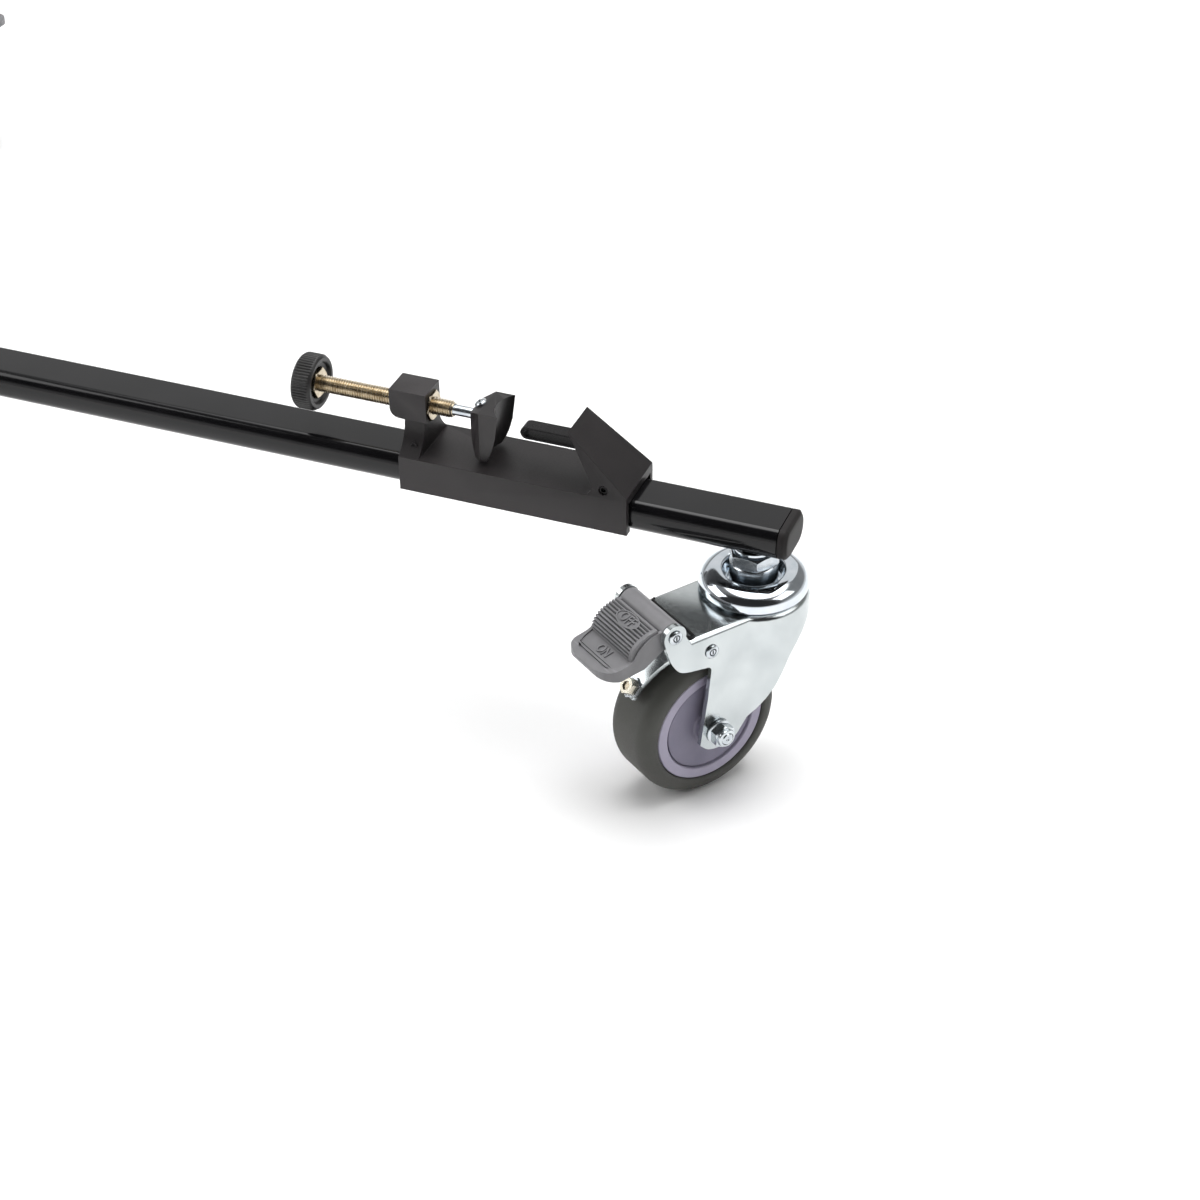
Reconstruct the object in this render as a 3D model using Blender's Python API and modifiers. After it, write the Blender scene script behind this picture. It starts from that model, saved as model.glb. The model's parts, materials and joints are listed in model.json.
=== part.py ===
"""Folding three-arm tripod dolly: a hub, three arms, and on each arm a foot clamp and a braked caster.

Blender 4.5, metres, +Z up. The origin is the centre of the hub's underside. Arm 1 lies along +X.
Each arm is modelled once, in its own frames, and its meshes are shared by all three arms.
"""

from math import atan2, cos, hypot, pi, radians, sin

import bmesh
import bpy
from mathutils import Matrix, Vector

MM = 0.001

# Overall layout
ARM_COUNT = 3
ARM_REACH = 500 * MM  # hub axis to caster stem axis
PIVOT_RADIUS = 40 * MM  # hub axis to arm pivot
CLAMP_INSET = 110 * MM  # caster stem axis back to the middle of the clamp
CASTER_REST_ANGLE = radians(-125)  # direction in which the wheel trails, seen from its arm
GAP = 0.3 * MM  # between pieces that touch
PIN_GAP = 0.3 * MM  # around a pin in its hole

# Arm tube, a flat-topped extrusion with bulging sides
TUBE_WIDTH = 27 * MM
TUBE_HEIGHT = 16 * MM
TUBE_TOP_FLAT = 17 * MM
TUBE_BOTTOM_FLAT = 12 * MM
TUBE_WALL = 1.8 * MM
TUBE_PAST_PIVOT = 14 * MM
TUBE_PAST_STEM = 14 * MM
CAP_LENGTH = 4.5 * MM
PLUG_LENGTH = 38 * MM

# Hub
HUB_PLATE = 4 * MM
HUB_RADIUS = 66 * MM  # to the outer edge of each lobe
HUB_LOBE = 19 * MM  # radius of a lobe
PIVOT_STUD = 4 * MM  # radius
RIVET_HEAD = 7 * MM
RIVET_HEAD_HEIGHT = 2.4 * MM
FIXED_ARM_RIVET = 18 * MM  # second rivet of the fixed arm, outward of its first
HUB_POST = 9 * MM
HUB_BOLT = 4 * MM
HUB_KNOB_RADIUS = 17 * MM
HUB_KNOB_HEIGHT = 13 * MM

# Foot clamp, its heights taken from the top of the tube
CLAMP_LENGTH = 111 * MM
CLAMP_SIDE = 2.8 * MM
CLAMP_TOP = 2.6 * MM
CLAMP_SHY = 1.2 * MM  # its lower edge above the tube's underside
CLAMP_LIP_HEIGHT = 2.0 * MM
SLIDE_GAP = 0.35 * MM
SCREW_HEIGHT = 22.6 * MM
SCREW_RADIUS = 4 * MM
HEAD_LENGTH = 18.2 * MM
HEAD_WALL = 1.4 * MM  # beside the nut
HEAD_BELOW_SCREW = 5.3 * MM
HEAD_ABOVE_SCREW = 9.1 * MM
HEAD_OVERHANG = 7.3 * MM
WEB_THICKNESS = 10 * MM
NUT_FLATS = 12.8 * MM
NUT_THICKNESS = 6.5 * MM
WEDGE_TIP_HEIGHT = 30.4 * MM
WEDGE_TIP_BACK = 29.5 * MM  # wedge tip back from the outer end
WEDGE_SHOULDER = 4.6 * MM
WEDGE_TOP_WIDTH = 23.3 * MM
WEDGE_SKIN = 2.2 * MM
NOTCH_BACK = 14.0 * MM  # sharp root of the notch back from the outer end
NOTCH_FILLET = 4 * MM
LEVER_PIN_BACK = 11.3 * MM
LEVER_PIN_HEIGHT = 6.3 * MM
LEVER_PIN = 2 * MM
LEVER_WIDTH = 7 * MM
LEVER_STRIP = 1.1 * MM
LEVER_FOLD = 6.2 * MM  # outer height of the folded end
LEVER_REACH = 44.7 * MM  # pin to the tip of the lever
LEVER_BELOW_TIP = 10.5 * MM  # middle of the folded end below the wedge's tip

# Clamp jaw and screw
JAW_TOP_ABOVE_SCREW = 7.1 * MM
JAW_FLOOR_GAP = 2.3 * MM
JAW_HALF_WIDTH = 10.4 * MM
JAW_LEFT = -23.2 * MM  # from the middle of the clamp
JAW_DEPTH = 15.2 * MM
JAW_GROOVE = 13.9 * MM
JAW_GROOVE_DEPTH = 4.8 * MM
JAW_BORE_DEPTH = 8 * MM
SCREW_PIN = 2.5 * MM
SCREW_PIN_LENGTH = 18.5 * MM
KNOB_RADIUS = 13.2 * MM
KNOB_THICKNESS = 10 * MM
KNOB_RECESS = 1.6 * MM
KNOB_TO_HEAD = 38 * MM  # free thread between knob and clamp head

# Caster, its heights taken from the floor
WHEEL_RADIUS = 37.5 * MM
TYRE_WIDTH = 29.2 * MM
TYRE_THICKNESS = 8.6 * MM
TYRE_SHOULDER = 6.6 * MM
RIM_RING = 5.3 * MM  # width of the rim's ring
RIM_INSET = 0.8 * MM  # from the tyre's side in to the rim's face
WHEEL_DISC_STEP = 0.9 * MM
WHEEL_HUB = 8 * MM
WHEEL_HUB_PROUD = 2.2 * MM  # each end beyond the tyre's side
TRAIL = 32.6 * MM
AXLE = 3 * MM
FORK_SHEET = 2.4 * MM
FORK_BOWL = 26 * MM
CROWN_CLEARANCE = 18 * MM  # tyre top to fork top
FORK_FRONT = 47.6 * MM
FORK_BEND = 2.6 * MM
RACE_RADIUS = 12 * MM
RACE_HEIGHT = 2.5 * MM
KINGPIN = 6 * MM
CAP_RING_RADIUS = 25 * MM
CAP_RING_SHEET = 1.5 * MM
STEM_FLATS = 21 * MM
STEM_NUT = 5.5 * MM
STEM_WASHER = 2.3 * MM
STEM_COLLAR = 11 * MM
STEM_COLLAR_HEIGHT = 10.6 * MM
STEM_THREAD = 5 * MM
STEM_DEPTH = 11 * MM

# Caster brake
PEDAL_PIN_X = 56.3 * MM
PEDAL_PIN_RISE = 6.2 * MM  # above the fork top
PEDAL_ROLLER = 5.6 * MM
PEDAL_PIN = 2 * MM
PEDAL_SIDE_GAP = 0.8 * MM  # between the pedal and each ear
PAD_INSET = 4.5 * MM  # from the pedal's side in to the pad's
RIB_COUNT = 10  # grooves across the pad
RIB_START, RIB_END = 0.12, 0.9  # along the pad's line
RIB_INSET = 2.6 * MM  # from the pad's side in to the ribs' ends
RIB_DEPTH = 0.6 * MM
EAR_RADIUS = 5.8 * MM
SHOE_PIN_X = 36.7 * MM
SHOE_PIN_DROP = 9.3 * MM  # below the fork top
SHOE_GAP = 3.0 * MM
SHOE_SHEET = 2.0 * MM
SHOE_WIDTH = 14 * MM
SHOE_TIP = 7 * MM
SHOE_SCREW_ANGLE = radians(38.5)
SHOE_SCREW_GAP = 1.5 * MM

# How finely round shapes are divided
ROUND = 20
MEDIUM_ROUND = 16
SMALL_ROUND = 8  # too coarse for a bore that turns on a shaft over 3.5 mm in radius

# Levels worked out from the above
AXLE_HEIGHT = WHEEL_RADIUS
TYRE_BORE = WHEEL_RADIUS - TYRE_THICKNESS
RIM_INNER = TYRE_BORE - RIM_RING
WHEEL_FACE = TYRE_WIDTH / 2 - RIM_INSET
HALF_WHEEL_HUB = TYRE_WIDTH / 2 + WHEEL_HUB_PROUD
FORK_TOP = 2 * WHEEL_RADIUS + CROWN_CLEARANCE
RACE_TOP = FORK_TOP + RACE_HEIGHT
CAP_FLOOR = RACE_TOP + GAP
COLLAR_BOTTOM = CAP_FLOOR + CAP_RING_SHEET + GAP
NUT_BOTTOM = COLLAR_BOTTOM + STEM_COLLAR_HEIGHT
TUBE_UNDERSIDE = NUT_BOTTOM + STEM_NUT + STEM_WASHER + GAP
RIDE_HEIGHT = TUBE_UNDERSIDE - GAP - HUB_PLATE
TUBE_BOTTOM = HUB_PLATE + GAP
TUBE_TOP = TUBE_BOTTOM + TUBE_HEIGHT
UPPER_PLATE = TUBE_TOP + GAP
FORK_INNER = HALF_WHEEL_HUB + GAP
FORK_OUTER = FORK_INNER + FORK_SHEET
CHANNEL_INNER = TUBE_WIDTH / 2 + SLIDE_GAP
CHANNEL_OUTER = CHANNEL_INNER + CLAMP_SIDE
HALF_CLAMP = CLAMP_LENGTH / 2
CLAMP_DROP = TUBE_HEIGHT - CLAMP_SHY
HEAD_WIDTH = NUT_FLATS + 2 * HEAD_WALL
PEDAL_WIDTH = 2 * (FORK_INNER - PEDAL_SIDE_GAP)
PAD_WIDTH = PEDAL_WIDTH - 2 * PAD_INSET

MATERIALS = {
    "black_anodised": ((0.012, 0.012, 0.014), 0.22, 0.6),
    "black_plastic": ((0.022, 0.021, 0.022), 0.48, 0.0),
    "black_steel": ((0.020, 0.020, 0.021), 0.40, 0.3),
    "zinc_steel": ((0.62, 0.65, 0.67), 0.28, 1.0),
    "polished_zinc": ((0.70, 0.73, 0.77), 0.12, 1.0),
    "yellow_zinc": ((0.62, 0.48, 0.28), 0.30, 1.0),
    "grey_plastic": ((0.20, 0.20, 0.21), 0.50, 0.0),
    "wheel_plastic": ((0.15, 0.13, 0.18), 0.50, 0.0),
    "tyre_rubber": ((0.055, 0.053, 0.048), 0.75, 0.0),
}


# Scene and materials

def clear_scene():
    for obj in list(bpy.data.objects):
        bpy.data.objects.remove(obj, do_unlink=True)


def make_material(name):
    colour, roughness, metallic = MATERIALS[name]
    material = bpy.data.materials.new(name)
    material.use_nodes = True
    shader = material.node_tree.nodes["Principled BSDF"]
    shader.inputs["Base Color"].default_value = (*colour, 1.0)
    shader.inputs["Roughness"].default_value = roughness
    shader.inputs["Metallic"].default_value = metallic
    return material


# Modelling helpers

def new_object(name, mesh):
    obj = bpy.data.objects.new(name, mesh)
    WORKSHOP.objects.link(obj)
    return obj


def settle(obj):
    """Rounds a new shape's corners to a fine grid, so that faces meant to meet meet exactly."""
    for vertex in obj.data.vertices:
        vertex.co = [round(c, 7) for c in vertex.co]
    return obj


def bake(obj):
    """The object's evaluated mesh, with its transform applied, on a plain mesh object."""
    graph = bpy.context.evaluated_depsgraph_get()
    mesh = bpy.data.meshes.new_from_object(obj.evaluated_get(graph), depsgraph=graph)
    mesh.transform(obj.matrix_world)
    edit = bmesh.new()
    edit.from_mesh(mesh)
    bmesh.ops.remove_doubles(edit, verts=edit.verts, dist=1e-6)
    bmesh.ops.recalc_face_normals(edit, faces=edit.faces)
    edit.to_mesh(mesh)
    edit.free()
    name = obj.name
    bpy.data.objects.remove(obj, do_unlink=True)
    return new_object(name, mesh)


def prism(name, points, depth, plane="XY", offset=0.0):
    """A flat outline, extruded to both sides of its plane by half its depth."""
    curve = bpy.data.curves.new(name, "CURVE")
    curve.dimensions = "2D"
    curve.fill_mode = "BOTH"
    curve.extrude = depth / 2
    spline = curve.splines.new("POLY")
    spline.points.add(len(points) - 1)
    for point, (u, v) in zip(spline.points, points):
        point.co = (u, v, 0.0, 1.0)
    spline.use_cyclic_u = True
    obj = new_object(name, curve)
    turns = {
        "XY": Matrix.Identity(4),
        "XZ": Matrix.Rotation(pi / 2, 4, "X"),
        "YZ": Matrix.Rotation(pi / 2, 4, "Z") @ Matrix.Rotation(pi / 2, 4, "X"),
    }
    shift = {"XY": (0, 0, offset), "XZ": (0, offset, 0), "YZ": (offset, 0, 0)}
    obj.matrix_world = Matrix.Translation(shift[plane]) @ turns[plane]
    bpy.context.view_layer.update()
    return settle(bake(obj))


def box(name, low, high):
    mesh = bpy.data.meshes.new(name)
    edit = bmesh.new()
    bmesh.ops.create_cube(edit, size=1.0)
    low, high = Vector(low), Vector(high)
    for vertex in edit.verts:
        vertex.co = [(a + b) / 2 + c * (b - a) for a, b, c in zip(low, high, vertex.co)]
    edit.to_mesh(mesh)
    edit.free()
    return settle(new_object(name, mesh))


AXES = {
    "X": Matrix.Rotation(pi / 2, 4, "Y"),
    "Y": Matrix.Rotation(-pi / 2, 4, "X"),
    "Z": Matrix.Identity(4),
}


def cylinder(name, radius, start, end, axis="Z", place=(0, 0, 0), sides=14):
    """A closed cylinder along an axis, from start to end, through a place off that axis."""
    mesh = bpy.data.meshes.new(name)
    edit = bmesh.new()
    bmesh.ops.create_cone(
        edit, cap_ends=True, segments=sides, radius1=radius, radius2=radius, depth=end - start
    )
    along = Matrix.Translation((0, 0, (start + end) / 2))
    edit.transform(Matrix.Translation(place) @ AXES[axis] @ along)
    edit.to_mesh(mesh)
    edit.free()
    return settle(new_object(name, mesh))


def hexagon(name, flats, start, end, axis="Z", place=(0, 0, 0)):
    return cylinder(name, flats / 2 / cos(pi / 6), start, end, axis, place, sides=6)


def turned(name, profile, axis="Z", steps=ROUND, closed=False):
    """A solid of revolution: (radius, height) points run down the outer side, top to bottom."""
    mesh = bpy.data.meshes.new(name)
    edges = [(i, i + 1) for i in range(len(profile) - 1)]
    if closed:
        edges.append((len(profile) - 1, 0))
    mesh.from_pydata([(r, 0.0, h) for r, h in profile], edges, [])
    obj = new_object(name, mesh)
    screw = obj.modifiers.new("Turn", "SCREW")
    screw.axis = "Z"
    screw.steps = steps
    screw.render_steps = steps
    screw.use_merge_vertices = True
    screw.merge_threshold = 0.00001
    obj.matrix_world = AXES[axis]
    bpy.context.view_layer.update()
    return settle(bake(obj))


def combine(target, other, operation):
    """Cuts, joins or trims the target with the other object, which is used up."""
    other.hide_render = True
    other.display_type = "WIRE"
    boolean = target.modifiers.new(operation.title(), "BOOLEAN")
    boolean.operation = operation
    boolean.solver = "EXACT"
    boolean.object = other
    bpy.context.view_layer.update()
    result = bake(target)
    bpy.data.objects.remove(other, do_unlink=True)
    return result


def cut(target, *cutters):
    for cutter in cutters:
        target = combine(target, cutter, "DIFFERENCE")
    return target


def join(target, *others):
    for other in others:
        target = combine(target, other, "UNION")
    return target


def trim(target, envelope):
    return combine(target, envelope, "INTERSECT")


def move(obj, x=0.0, y=0.0, z=0.0):
    obj.data.transform(Matrix.Translation((x, y, z)))
    return obj


def arc(centre, radius, start, end, steps):
    """Points on an arc, by angle in radians, both ends included."""
    turns = [start + (end - start) * i / steps for i in range(steps + 1)]
    return [(centre[0] + radius * cos(a), centre[1] + radius * sin(a)) for a in turns]


def smooth(points, steps=2):
    """A smooth run through the points, both ends included."""
    padded = [points[0], *points, points[-1]]
    run = []
    for a, b, c, d in zip(padded, padded[1:], padded[2:], padded[3:]):
        for i in range(steps):
            t = i / steps
            run.append(tuple(
                0.5 * (2 * q + (r - p) * t + (2 * p - 5 * q + 4 * r - s) * t * t
                       + (3 * q - p - 3 * r + s) * t ** 3)
                for p, q, r, s in zip(a, b, c, d)
            ))
    return [*run, points[-1]]


def mirrored(points):
    """An outline's right half, run from bottom to top, with its mirror image added."""
    return [*points, *[(-u, v) for u, v in reversed(points)]]


# Arm

def tube_section(inset=0.0, steps=3):
    """The tube's outline, (y, z) from the tube's bottom, taken in by an inset all round."""
    half, middle = TUBE_WIDTH / 2 - inset, TUBE_HEIGHT / 2
    rise = middle - inset
    low, top = TUBE_BOTTOM_FLAT / 2 - inset / 2, TUBE_TOP_FLAT / 2 - inset / 2
    right = []
    for i in range(steps + 1):
        turn = pi / 2 * i / steps
        right.append((low + (half - low) * sin(turn), middle - rise * cos(turn)))
    for i in range(1, steps + 1):
        turn = pi / 2 * i / steps
        right.append((top + (half - top) * cos(turn), middle + rise * sin(turn)))
    return mirrored(right)


def tube_length(name, start, end, inset=0.0):
    return prism(name, tube_section(inset), end - start, "YZ", (start + end) / 2)


def arm_tube():
    start, end = PIVOT_RADIUS - TUBE_PAST_PIVOT, ARM_REACH + TUBE_PAST_STEM
    tube = tube_length("arm_tube", start, end)
    bore = tube_length("bore", start - MM, end + MM, TUBE_WALL)
    stud = PIVOT_STUD + PIN_GAP
    pivot = cylinder("pivot_hole", stud, -MM, TUBE_HEIGHT + MM, place=(PIVOT_RADIUS, 0, 0))
    stem = cylinder("stem_hole", STEM_THREAD + PIN_GAP, -MM, TUBE_HEIGHT / 2, place=(ARM_REACH, 0, 0))
    tube = cut(tube, bore, pivot, stem)
    return move(tube, z=TUBE_BOTTOM)


def fixed_arm_tube():
    """The fixed arm has a second rivet hole."""
    second = PIVOT_RADIUS + FIXED_ARM_RIVET
    stud = PIVOT_STUD + PIN_GAP
    hole = cylinder("rivet_hole", stud, TUBE_BOTTOM - MM, TUBE_TOP + MM, place=(second, 0, 0))
    return cut(arm_tube(), hole)


def arm_end_cap():
    face = ARM_REACH + TUBE_PAST_STEM + GAP
    chamfer = 1.4 * MM
    cap = tube_length("arm_end_cap", face, face + CAP_LENGTH)
    for vertex in cap.data.vertices:
        if vertex.co.x > face + CAP_LENGTH / 2:
            vertex.co.y *= 1 - 2 * chamfer / TUBE_WIDTH
            vertex.co.z += (TUBE_HEIGHT / 2 - vertex.co.z) * 2 * chamfer / TUBE_HEIGHT
    plug = tube_length("plug", face - PLUG_LENGTH, face + MM, TUBE_WALL + GAP)
    bore = cylinder("stem_bore", STEM_THREAD + PIN_GAP, -MM, STEM_DEPTH + MM, place=(ARM_REACH, 0, 0))
    return move(cut(join(cap, plug), bore), z=TUBE_BOTTOM)


# Hub

def lobe_outline(steps=6):
    """Three lobes joined by their common tangents, as (x, y)."""
    centre = HUB_RADIUS - HUB_LOBE
    outline = []
    for arm in range(ARM_COUNT):
        aim = 2 * pi * arm / ARM_COUNT
        spread = pi / ARM_COUNT
        place = (centre * cos(aim), centre * sin(aim))
        outline += arc(place, HUB_LOBE, aim - spread, aim + spread, steps)
    return outline


def arm_places():
    """Where the rivets stand: one at each arm's pivot, and a second on the fixed arm."""
    turns = [2 * pi * arm / ARM_COUNT for arm in range(ARM_COUNT)]
    places = [(PIVOT_RADIUS * cos(a), PIVOT_RADIUS * sin(a)) for a in turns]
    return [*places, (PIVOT_RADIUS + FIXED_ARM_RIVET, 0.0)]


def hub_lower_plate():
    plate = prism("hub_lower_plate", lobe_outline(), HUB_PLATE, offset=HUB_PLATE / 2)
    post = cylinder("post", HUB_POST, HUB_PLATE / 2, UPPER_PLATE - GAP)
    plate = join(plate, post)
    head = UPPER_PLATE + HUB_PLATE + GAP
    for x, y in arm_places():
        stud = cylinder("stud", PIVOT_STUD, HUB_PLATE / 2, head + MM, place=(x, y, 0))
        top = turned("rivet_head", [
            (0.0, head + RIVET_HEAD_HEIGHT),
            (RIVET_HEAD * 0.75, head + RIVET_HEAD_HEIGHT * 0.75),
            (RIVET_HEAD, head),
            (0.0, head),
        ], steps=SMALL_ROUND)
        plate = join(plate, join(stud, move(top, x, y)))
    tapped = cylinder("tapped_hole", HUB_BOLT + PIN_GAP, HUB_PLATE, UPPER_PLATE + MM)
    return cut(plate, tapped)


def hub_upper_plate():
    plate = prism("hub_upper_plate", lobe_outline(), HUB_PLATE, offset=UPPER_PLATE + HUB_PLATE / 2)
    low, high = UPPER_PLATE - MM, UPPER_PLATE + HUB_PLATE + MM
    for x, y in arm_places():
        plate = cut(plate, cylinder("rivet_hole", PIVOT_STUD + PIN_GAP, low, high, place=(x, y, 0)))
    return cut(plate, cylinder("bolt_hole", HUB_BOLT + PIN_GAP, low, high))


def hub_knob():
    """A lobed knob with its bolt, which pulls the plates together on the arms."""
    seat = UPPER_PLATE + HUB_PLATE + GAP
    collar = 3 * MM
    lobes, depth = 6, 2.2 * MM
    outline = []
    for i in range(lobes * 6):
        turn = 2 * pi * i / (lobes * 6)
        radius = HUB_KNOB_RADIUS - depth * (1 - cos(lobes * turn)) / 2
        outline.append((radius * cos(turn), radius * sin(turn)))
    middle = seat + collar + HUB_KNOB_HEIGHT / 2
    knob = prism("hub_knob", outline, HUB_KNOB_HEIGHT, offset=middle)
    washer = cylinder("collar", HUB_KNOB_RADIUS * 0.6, seat, seat + collar + MM)
    bolt = cylinder("bolt", HUB_BOLT, HUB_PLATE + 2 * MM, seat + MM, sides=SMALL_ROUND)
    return join(knob, washer, bolt)


# Foot clamp: x from the middle of the clamp, z from the top of the tube

def clamp_channel():
    """The C-shaped slide that hangs on the tube, with lips hooked under its sides."""
    lip = CHANNEL_INNER - 1.45 * MM
    right = [
        (lip, -CLAMP_DROP),
        (CHANNEL_OUTER, -CLAMP_DROP),
        (CHANNEL_OUTER, CLAMP_TOP),
    ]
    inner = [
        (lip, -CLAMP_DROP + CLAMP_LIP_HEIGHT),
        (CHANNEL_INNER, -CLAMP_DROP + CLAMP_LIP_HEIGHT + MM),
        (CHANNEL_INNER, GAP),
    ]
    outline = [*right, *[(-u, v) for u, v in reversed(right)]]
    outline += [*[(-u, v) for u, v in inner], *reversed(inner)]
    return prism("clamp_body", outline, CLAMP_LENGTH, "YZ")


def wedge_points():
    """The wedge's tip, its outer shoulder, and the sharp root of its notch, as (x, z)."""
    tip = (HALF_CLAMP - WEDGE_TIP_BACK, WEDGE_TIP_HEIGHT)
    shoulder = (HALF_CLAMP, WEDGE_SHOULDER)
    root = (HALF_CLAMP - NOTCH_BACK, CLAMP_TOP)
    return tip, shoulder, root


def clamp_wedge():
    """The hooked wedge that holds a foot down, as one full-width block."""
    tip, shoulder, root = wedge_points()
    slope = atan2(tip[1] - root[1], tip[0] - root[0])
    reach = NOTCH_FILLET * (1 + abs(cos(slope))) / sin(slope)
    centre = (root[0] - reach, CLAMP_TOP + NOTCH_FILLET)
    fillet = arc(centre, NOTCH_FILLET, -pi / 2, slope - pi / 2, 4)
    base = CLAMP_TOP - 1.2 * MM
    outline = [(fillet[0][0], base), *fillet, tip, shoulder, (HALF_CLAMP, base)]
    return prism("wedge", outline, 2 * CHANNEL_OUTER, "XZ")


def cheek_trimmer(side):
    """What leans one cheek inward from the top of the channel upward."""
    rise = WEDGE_TIP_HEIGHT - CLAMP_TOP
    shift = (CHANNEL_OUTER - WEDGE_TOP_WIDTH / 2) / rise
    low, high = CLAMP_TOP - 5 * MM, WEDGE_TIP_HEIGHT + 5 * MM
    outline = [
        (side * (CHANNEL_OUTER + shift * 5 * MM), low),
        (side * (CHANNEL_OUTER + 20 * MM), low),
        (side * (CHANNEL_OUTER + 20 * MM), high),
        (side * (WEDGE_TOP_WIDTH / 2 - shift * 5 * MM), high),
    ]
    return prism("trimmer", outline, 60 * MM, "YZ", HALF_CLAMP - 25 * MM)


def wedge_hollow():
    """The room between the cheeks, open toward the jaw, and down to the tube at its outer end."""
    tip, shoulder, root = wedge_points()
    run = Vector((shoulder[0] - tip[0], shoulder[1] - tip[1])).normalized()
    inward = Vector((run.y, -run.x)) * WEDGE_SKIN
    end = HALF_CLAMP - WEDGE_SKIN
    far = 30 * MM
    inner = [tip[0] + inward.x, tip[1] + inward.y]
    start = (inner[0] - run.x * far, inner[1] - run.y * far)
    drop = (end - inner[0]) / run.x
    shelf = root[0] - 3.5 * MM
    floor, low = CLAMP_TOP + 0.25 * MM, -MM
    outline = [
        (start[0], floor),
        (shelf, floor),
        (shelf, low),
        (end, low),
        (end, inner[1] + run.y * drop),
        start,
    ]
    hollow = prism("hollow", outline, 2 * CHANNEL_INNER, "XZ")
    wide, narrow = CHANNEL_INNER - 0.4 * MM, WEDGE_TOP_WIDTH / 2 - CLAMP_SIDE
    for vertex in hollow.data.vertices:
        share = (vertex.co.z - low) / (WEDGE_TIP_HEIGHT - low)
        half = wide + (narrow - wide) * share
        vertex.co.y = half if vertex.co.y > 0 else -half
    return hollow


def clamp_upright():
    """The web that stands on the channel's inner end, with its sides swept out at the foot."""
    half, foot = HEAD_WIDTH / 2, CHANNEL_OUTER - 0.4 * MM
    rise = SCREW_HEIGHT - HEAD_BELOW_SCREW - CLAMP_TOP
    right = [(foot, CLAMP_TOP - 1.5 * MM)]
    steps = 5
    for i in range(steps + 1):
        share = i / steps
        right.append((half + (foot - half) * (1 - share) ** 2.2, CLAMP_TOP + rise * share))
    right.append((half, SCREW_HEIGHT))
    return prism("upright", mirrored(right), WEB_THICKNESS, "YZ", -HALF_CLAMP + WEB_THICKNESS / 2)


def head_span():
    """The x of both faces of the clamp's head."""
    left = -HALF_CLAMP - HEAD_OVERHANG
    return left, left + HEAD_LENGTH


def clamp_head():
    left, right = head_span()
    low, high = SCREW_HEIGHT - HEAD_BELOW_SCREW, SCREW_HEIGHT + HEAD_ABOVE_SCREW
    round_edge = 4.5 * MM
    corner = arc((left + round_edge, low + round_edge), round_edge, pi, 1.5 * pi, 4)
    outline = [*corner, (right, low), (right, high), (left, high)]
    return prism("head", outline, HEAD_WIDTH, "XZ")


def clamp_body():
    body = join(clamp_channel(), clamp_wedge())
    body = cut(body, cheek_trimmer(1), cheek_trimmer(-1), wedge_hollow())
    body = join(body, clamp_upright(), clamp_head())
    left, right = head_span()
    screw = cylinder("screw_hole", SCREW_RADIUS + PIN_GAP, left - MM, right + MM, "X", (0, 0, SCREW_HEIGHT))
    pocket = hexagon(
        "nut_pocket", NUT_FLATS + 2 * GAP, right - NUT_THICKNESS, right + MM, "X", (0, 0, SCREW_HEIGHT)
    )
    pin = cylinder(
        "pin_hole", LEVER_PIN + PIN_GAP, -CHANNEL_OUTER - MM, CHANNEL_OUTER + MM, "Y",
        (HALF_CLAMP - LEVER_PIN_BACK, 0, LEVER_PIN_HEIGHT), sides=SMALL_ROUND,
    )
    return cut(body, screw, pocket, pin)


def clamp_nut():
    right = head_span()[1]
    start = right - NUT_THICKNESS + GAP
    nut = hexagon("clamp_nut", NUT_FLATS, start, start + NUT_THICKNESS, "X", (0, 0, SCREW_HEIGHT))
    bore = cylinder(
        "bore", SCREW_RADIUS + PIN_GAP, start - MM, start + NUT_THICKNESS + MM, "X", (0, 0, SCREW_HEIGHT)
    )
    return cut(nut, bore)


def knob_face():
    """The x of the knob's face toward the clamp."""
    return head_span()[0] - KNOB_TO_HEAD


def clamp_screw():
    """The threaded rod with the hex that drives it, and the plain pin that turns in the jaw."""
    face = knob_face()
    step = JAW_LEFT + JAW_BORE_DEPTH - GAP - SCREW_PIN_LENGTH
    start = face - KNOB_THICKNESS + 2.5 * MM
    rod = cylinder("clamp_screw", SCREW_RADIUS, start, step, "X", (0, 0, SCREW_HEIGHT))
    hexagonal = hexagon("drive_hex", NUT_FLATS, face - 5 * MM, face - GAP, "X", (0, 0, SCREW_HEIGHT))
    pin = cylinder(
        "pin", SCREW_PIN, step - MM, step + SCREW_PIN_LENGTH, "X", (0, 0, SCREW_HEIGHT), sides=SMALL_ROUND
    )
    return join(rod, hexagonal, pin)


def clamp_knob():
    face, edge = knob_face(), 1.2 * MM
    back = face - KNOB_THICKNESS
    ring = KNOB_RADIUS - 3.2 * MM
    knob = turned("clamp_knob", [
        (0.0, face - KNOB_RECESS),
        (ring, face - KNOB_RECESS),
        (ring, face),
        (KNOB_RADIUS - edge, face),
        (KNOB_RADIUS, face - edge),
        (KNOB_RADIUS, back + edge),
        (KNOB_RADIUS - edge, back),
        (0.0, back),
    ], "X", steps=MEDIUM_ROUND)
    move(knob, z=SCREW_HEIGHT)
    bore = cylinder(
        "bore", SCREW_RADIUS + GAP, back + 2.2 * MM, face + MM, "X", (0, 0, SCREW_HEIGHT)
    )
    pocket = hexagon("pocket", NUT_FLATS + 2 * GAP, face - 5 * MM - GAP, face + MM, "X", (0, 0, SCREW_HEIGHT))
    return cut(knob, bore, pocket)


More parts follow.
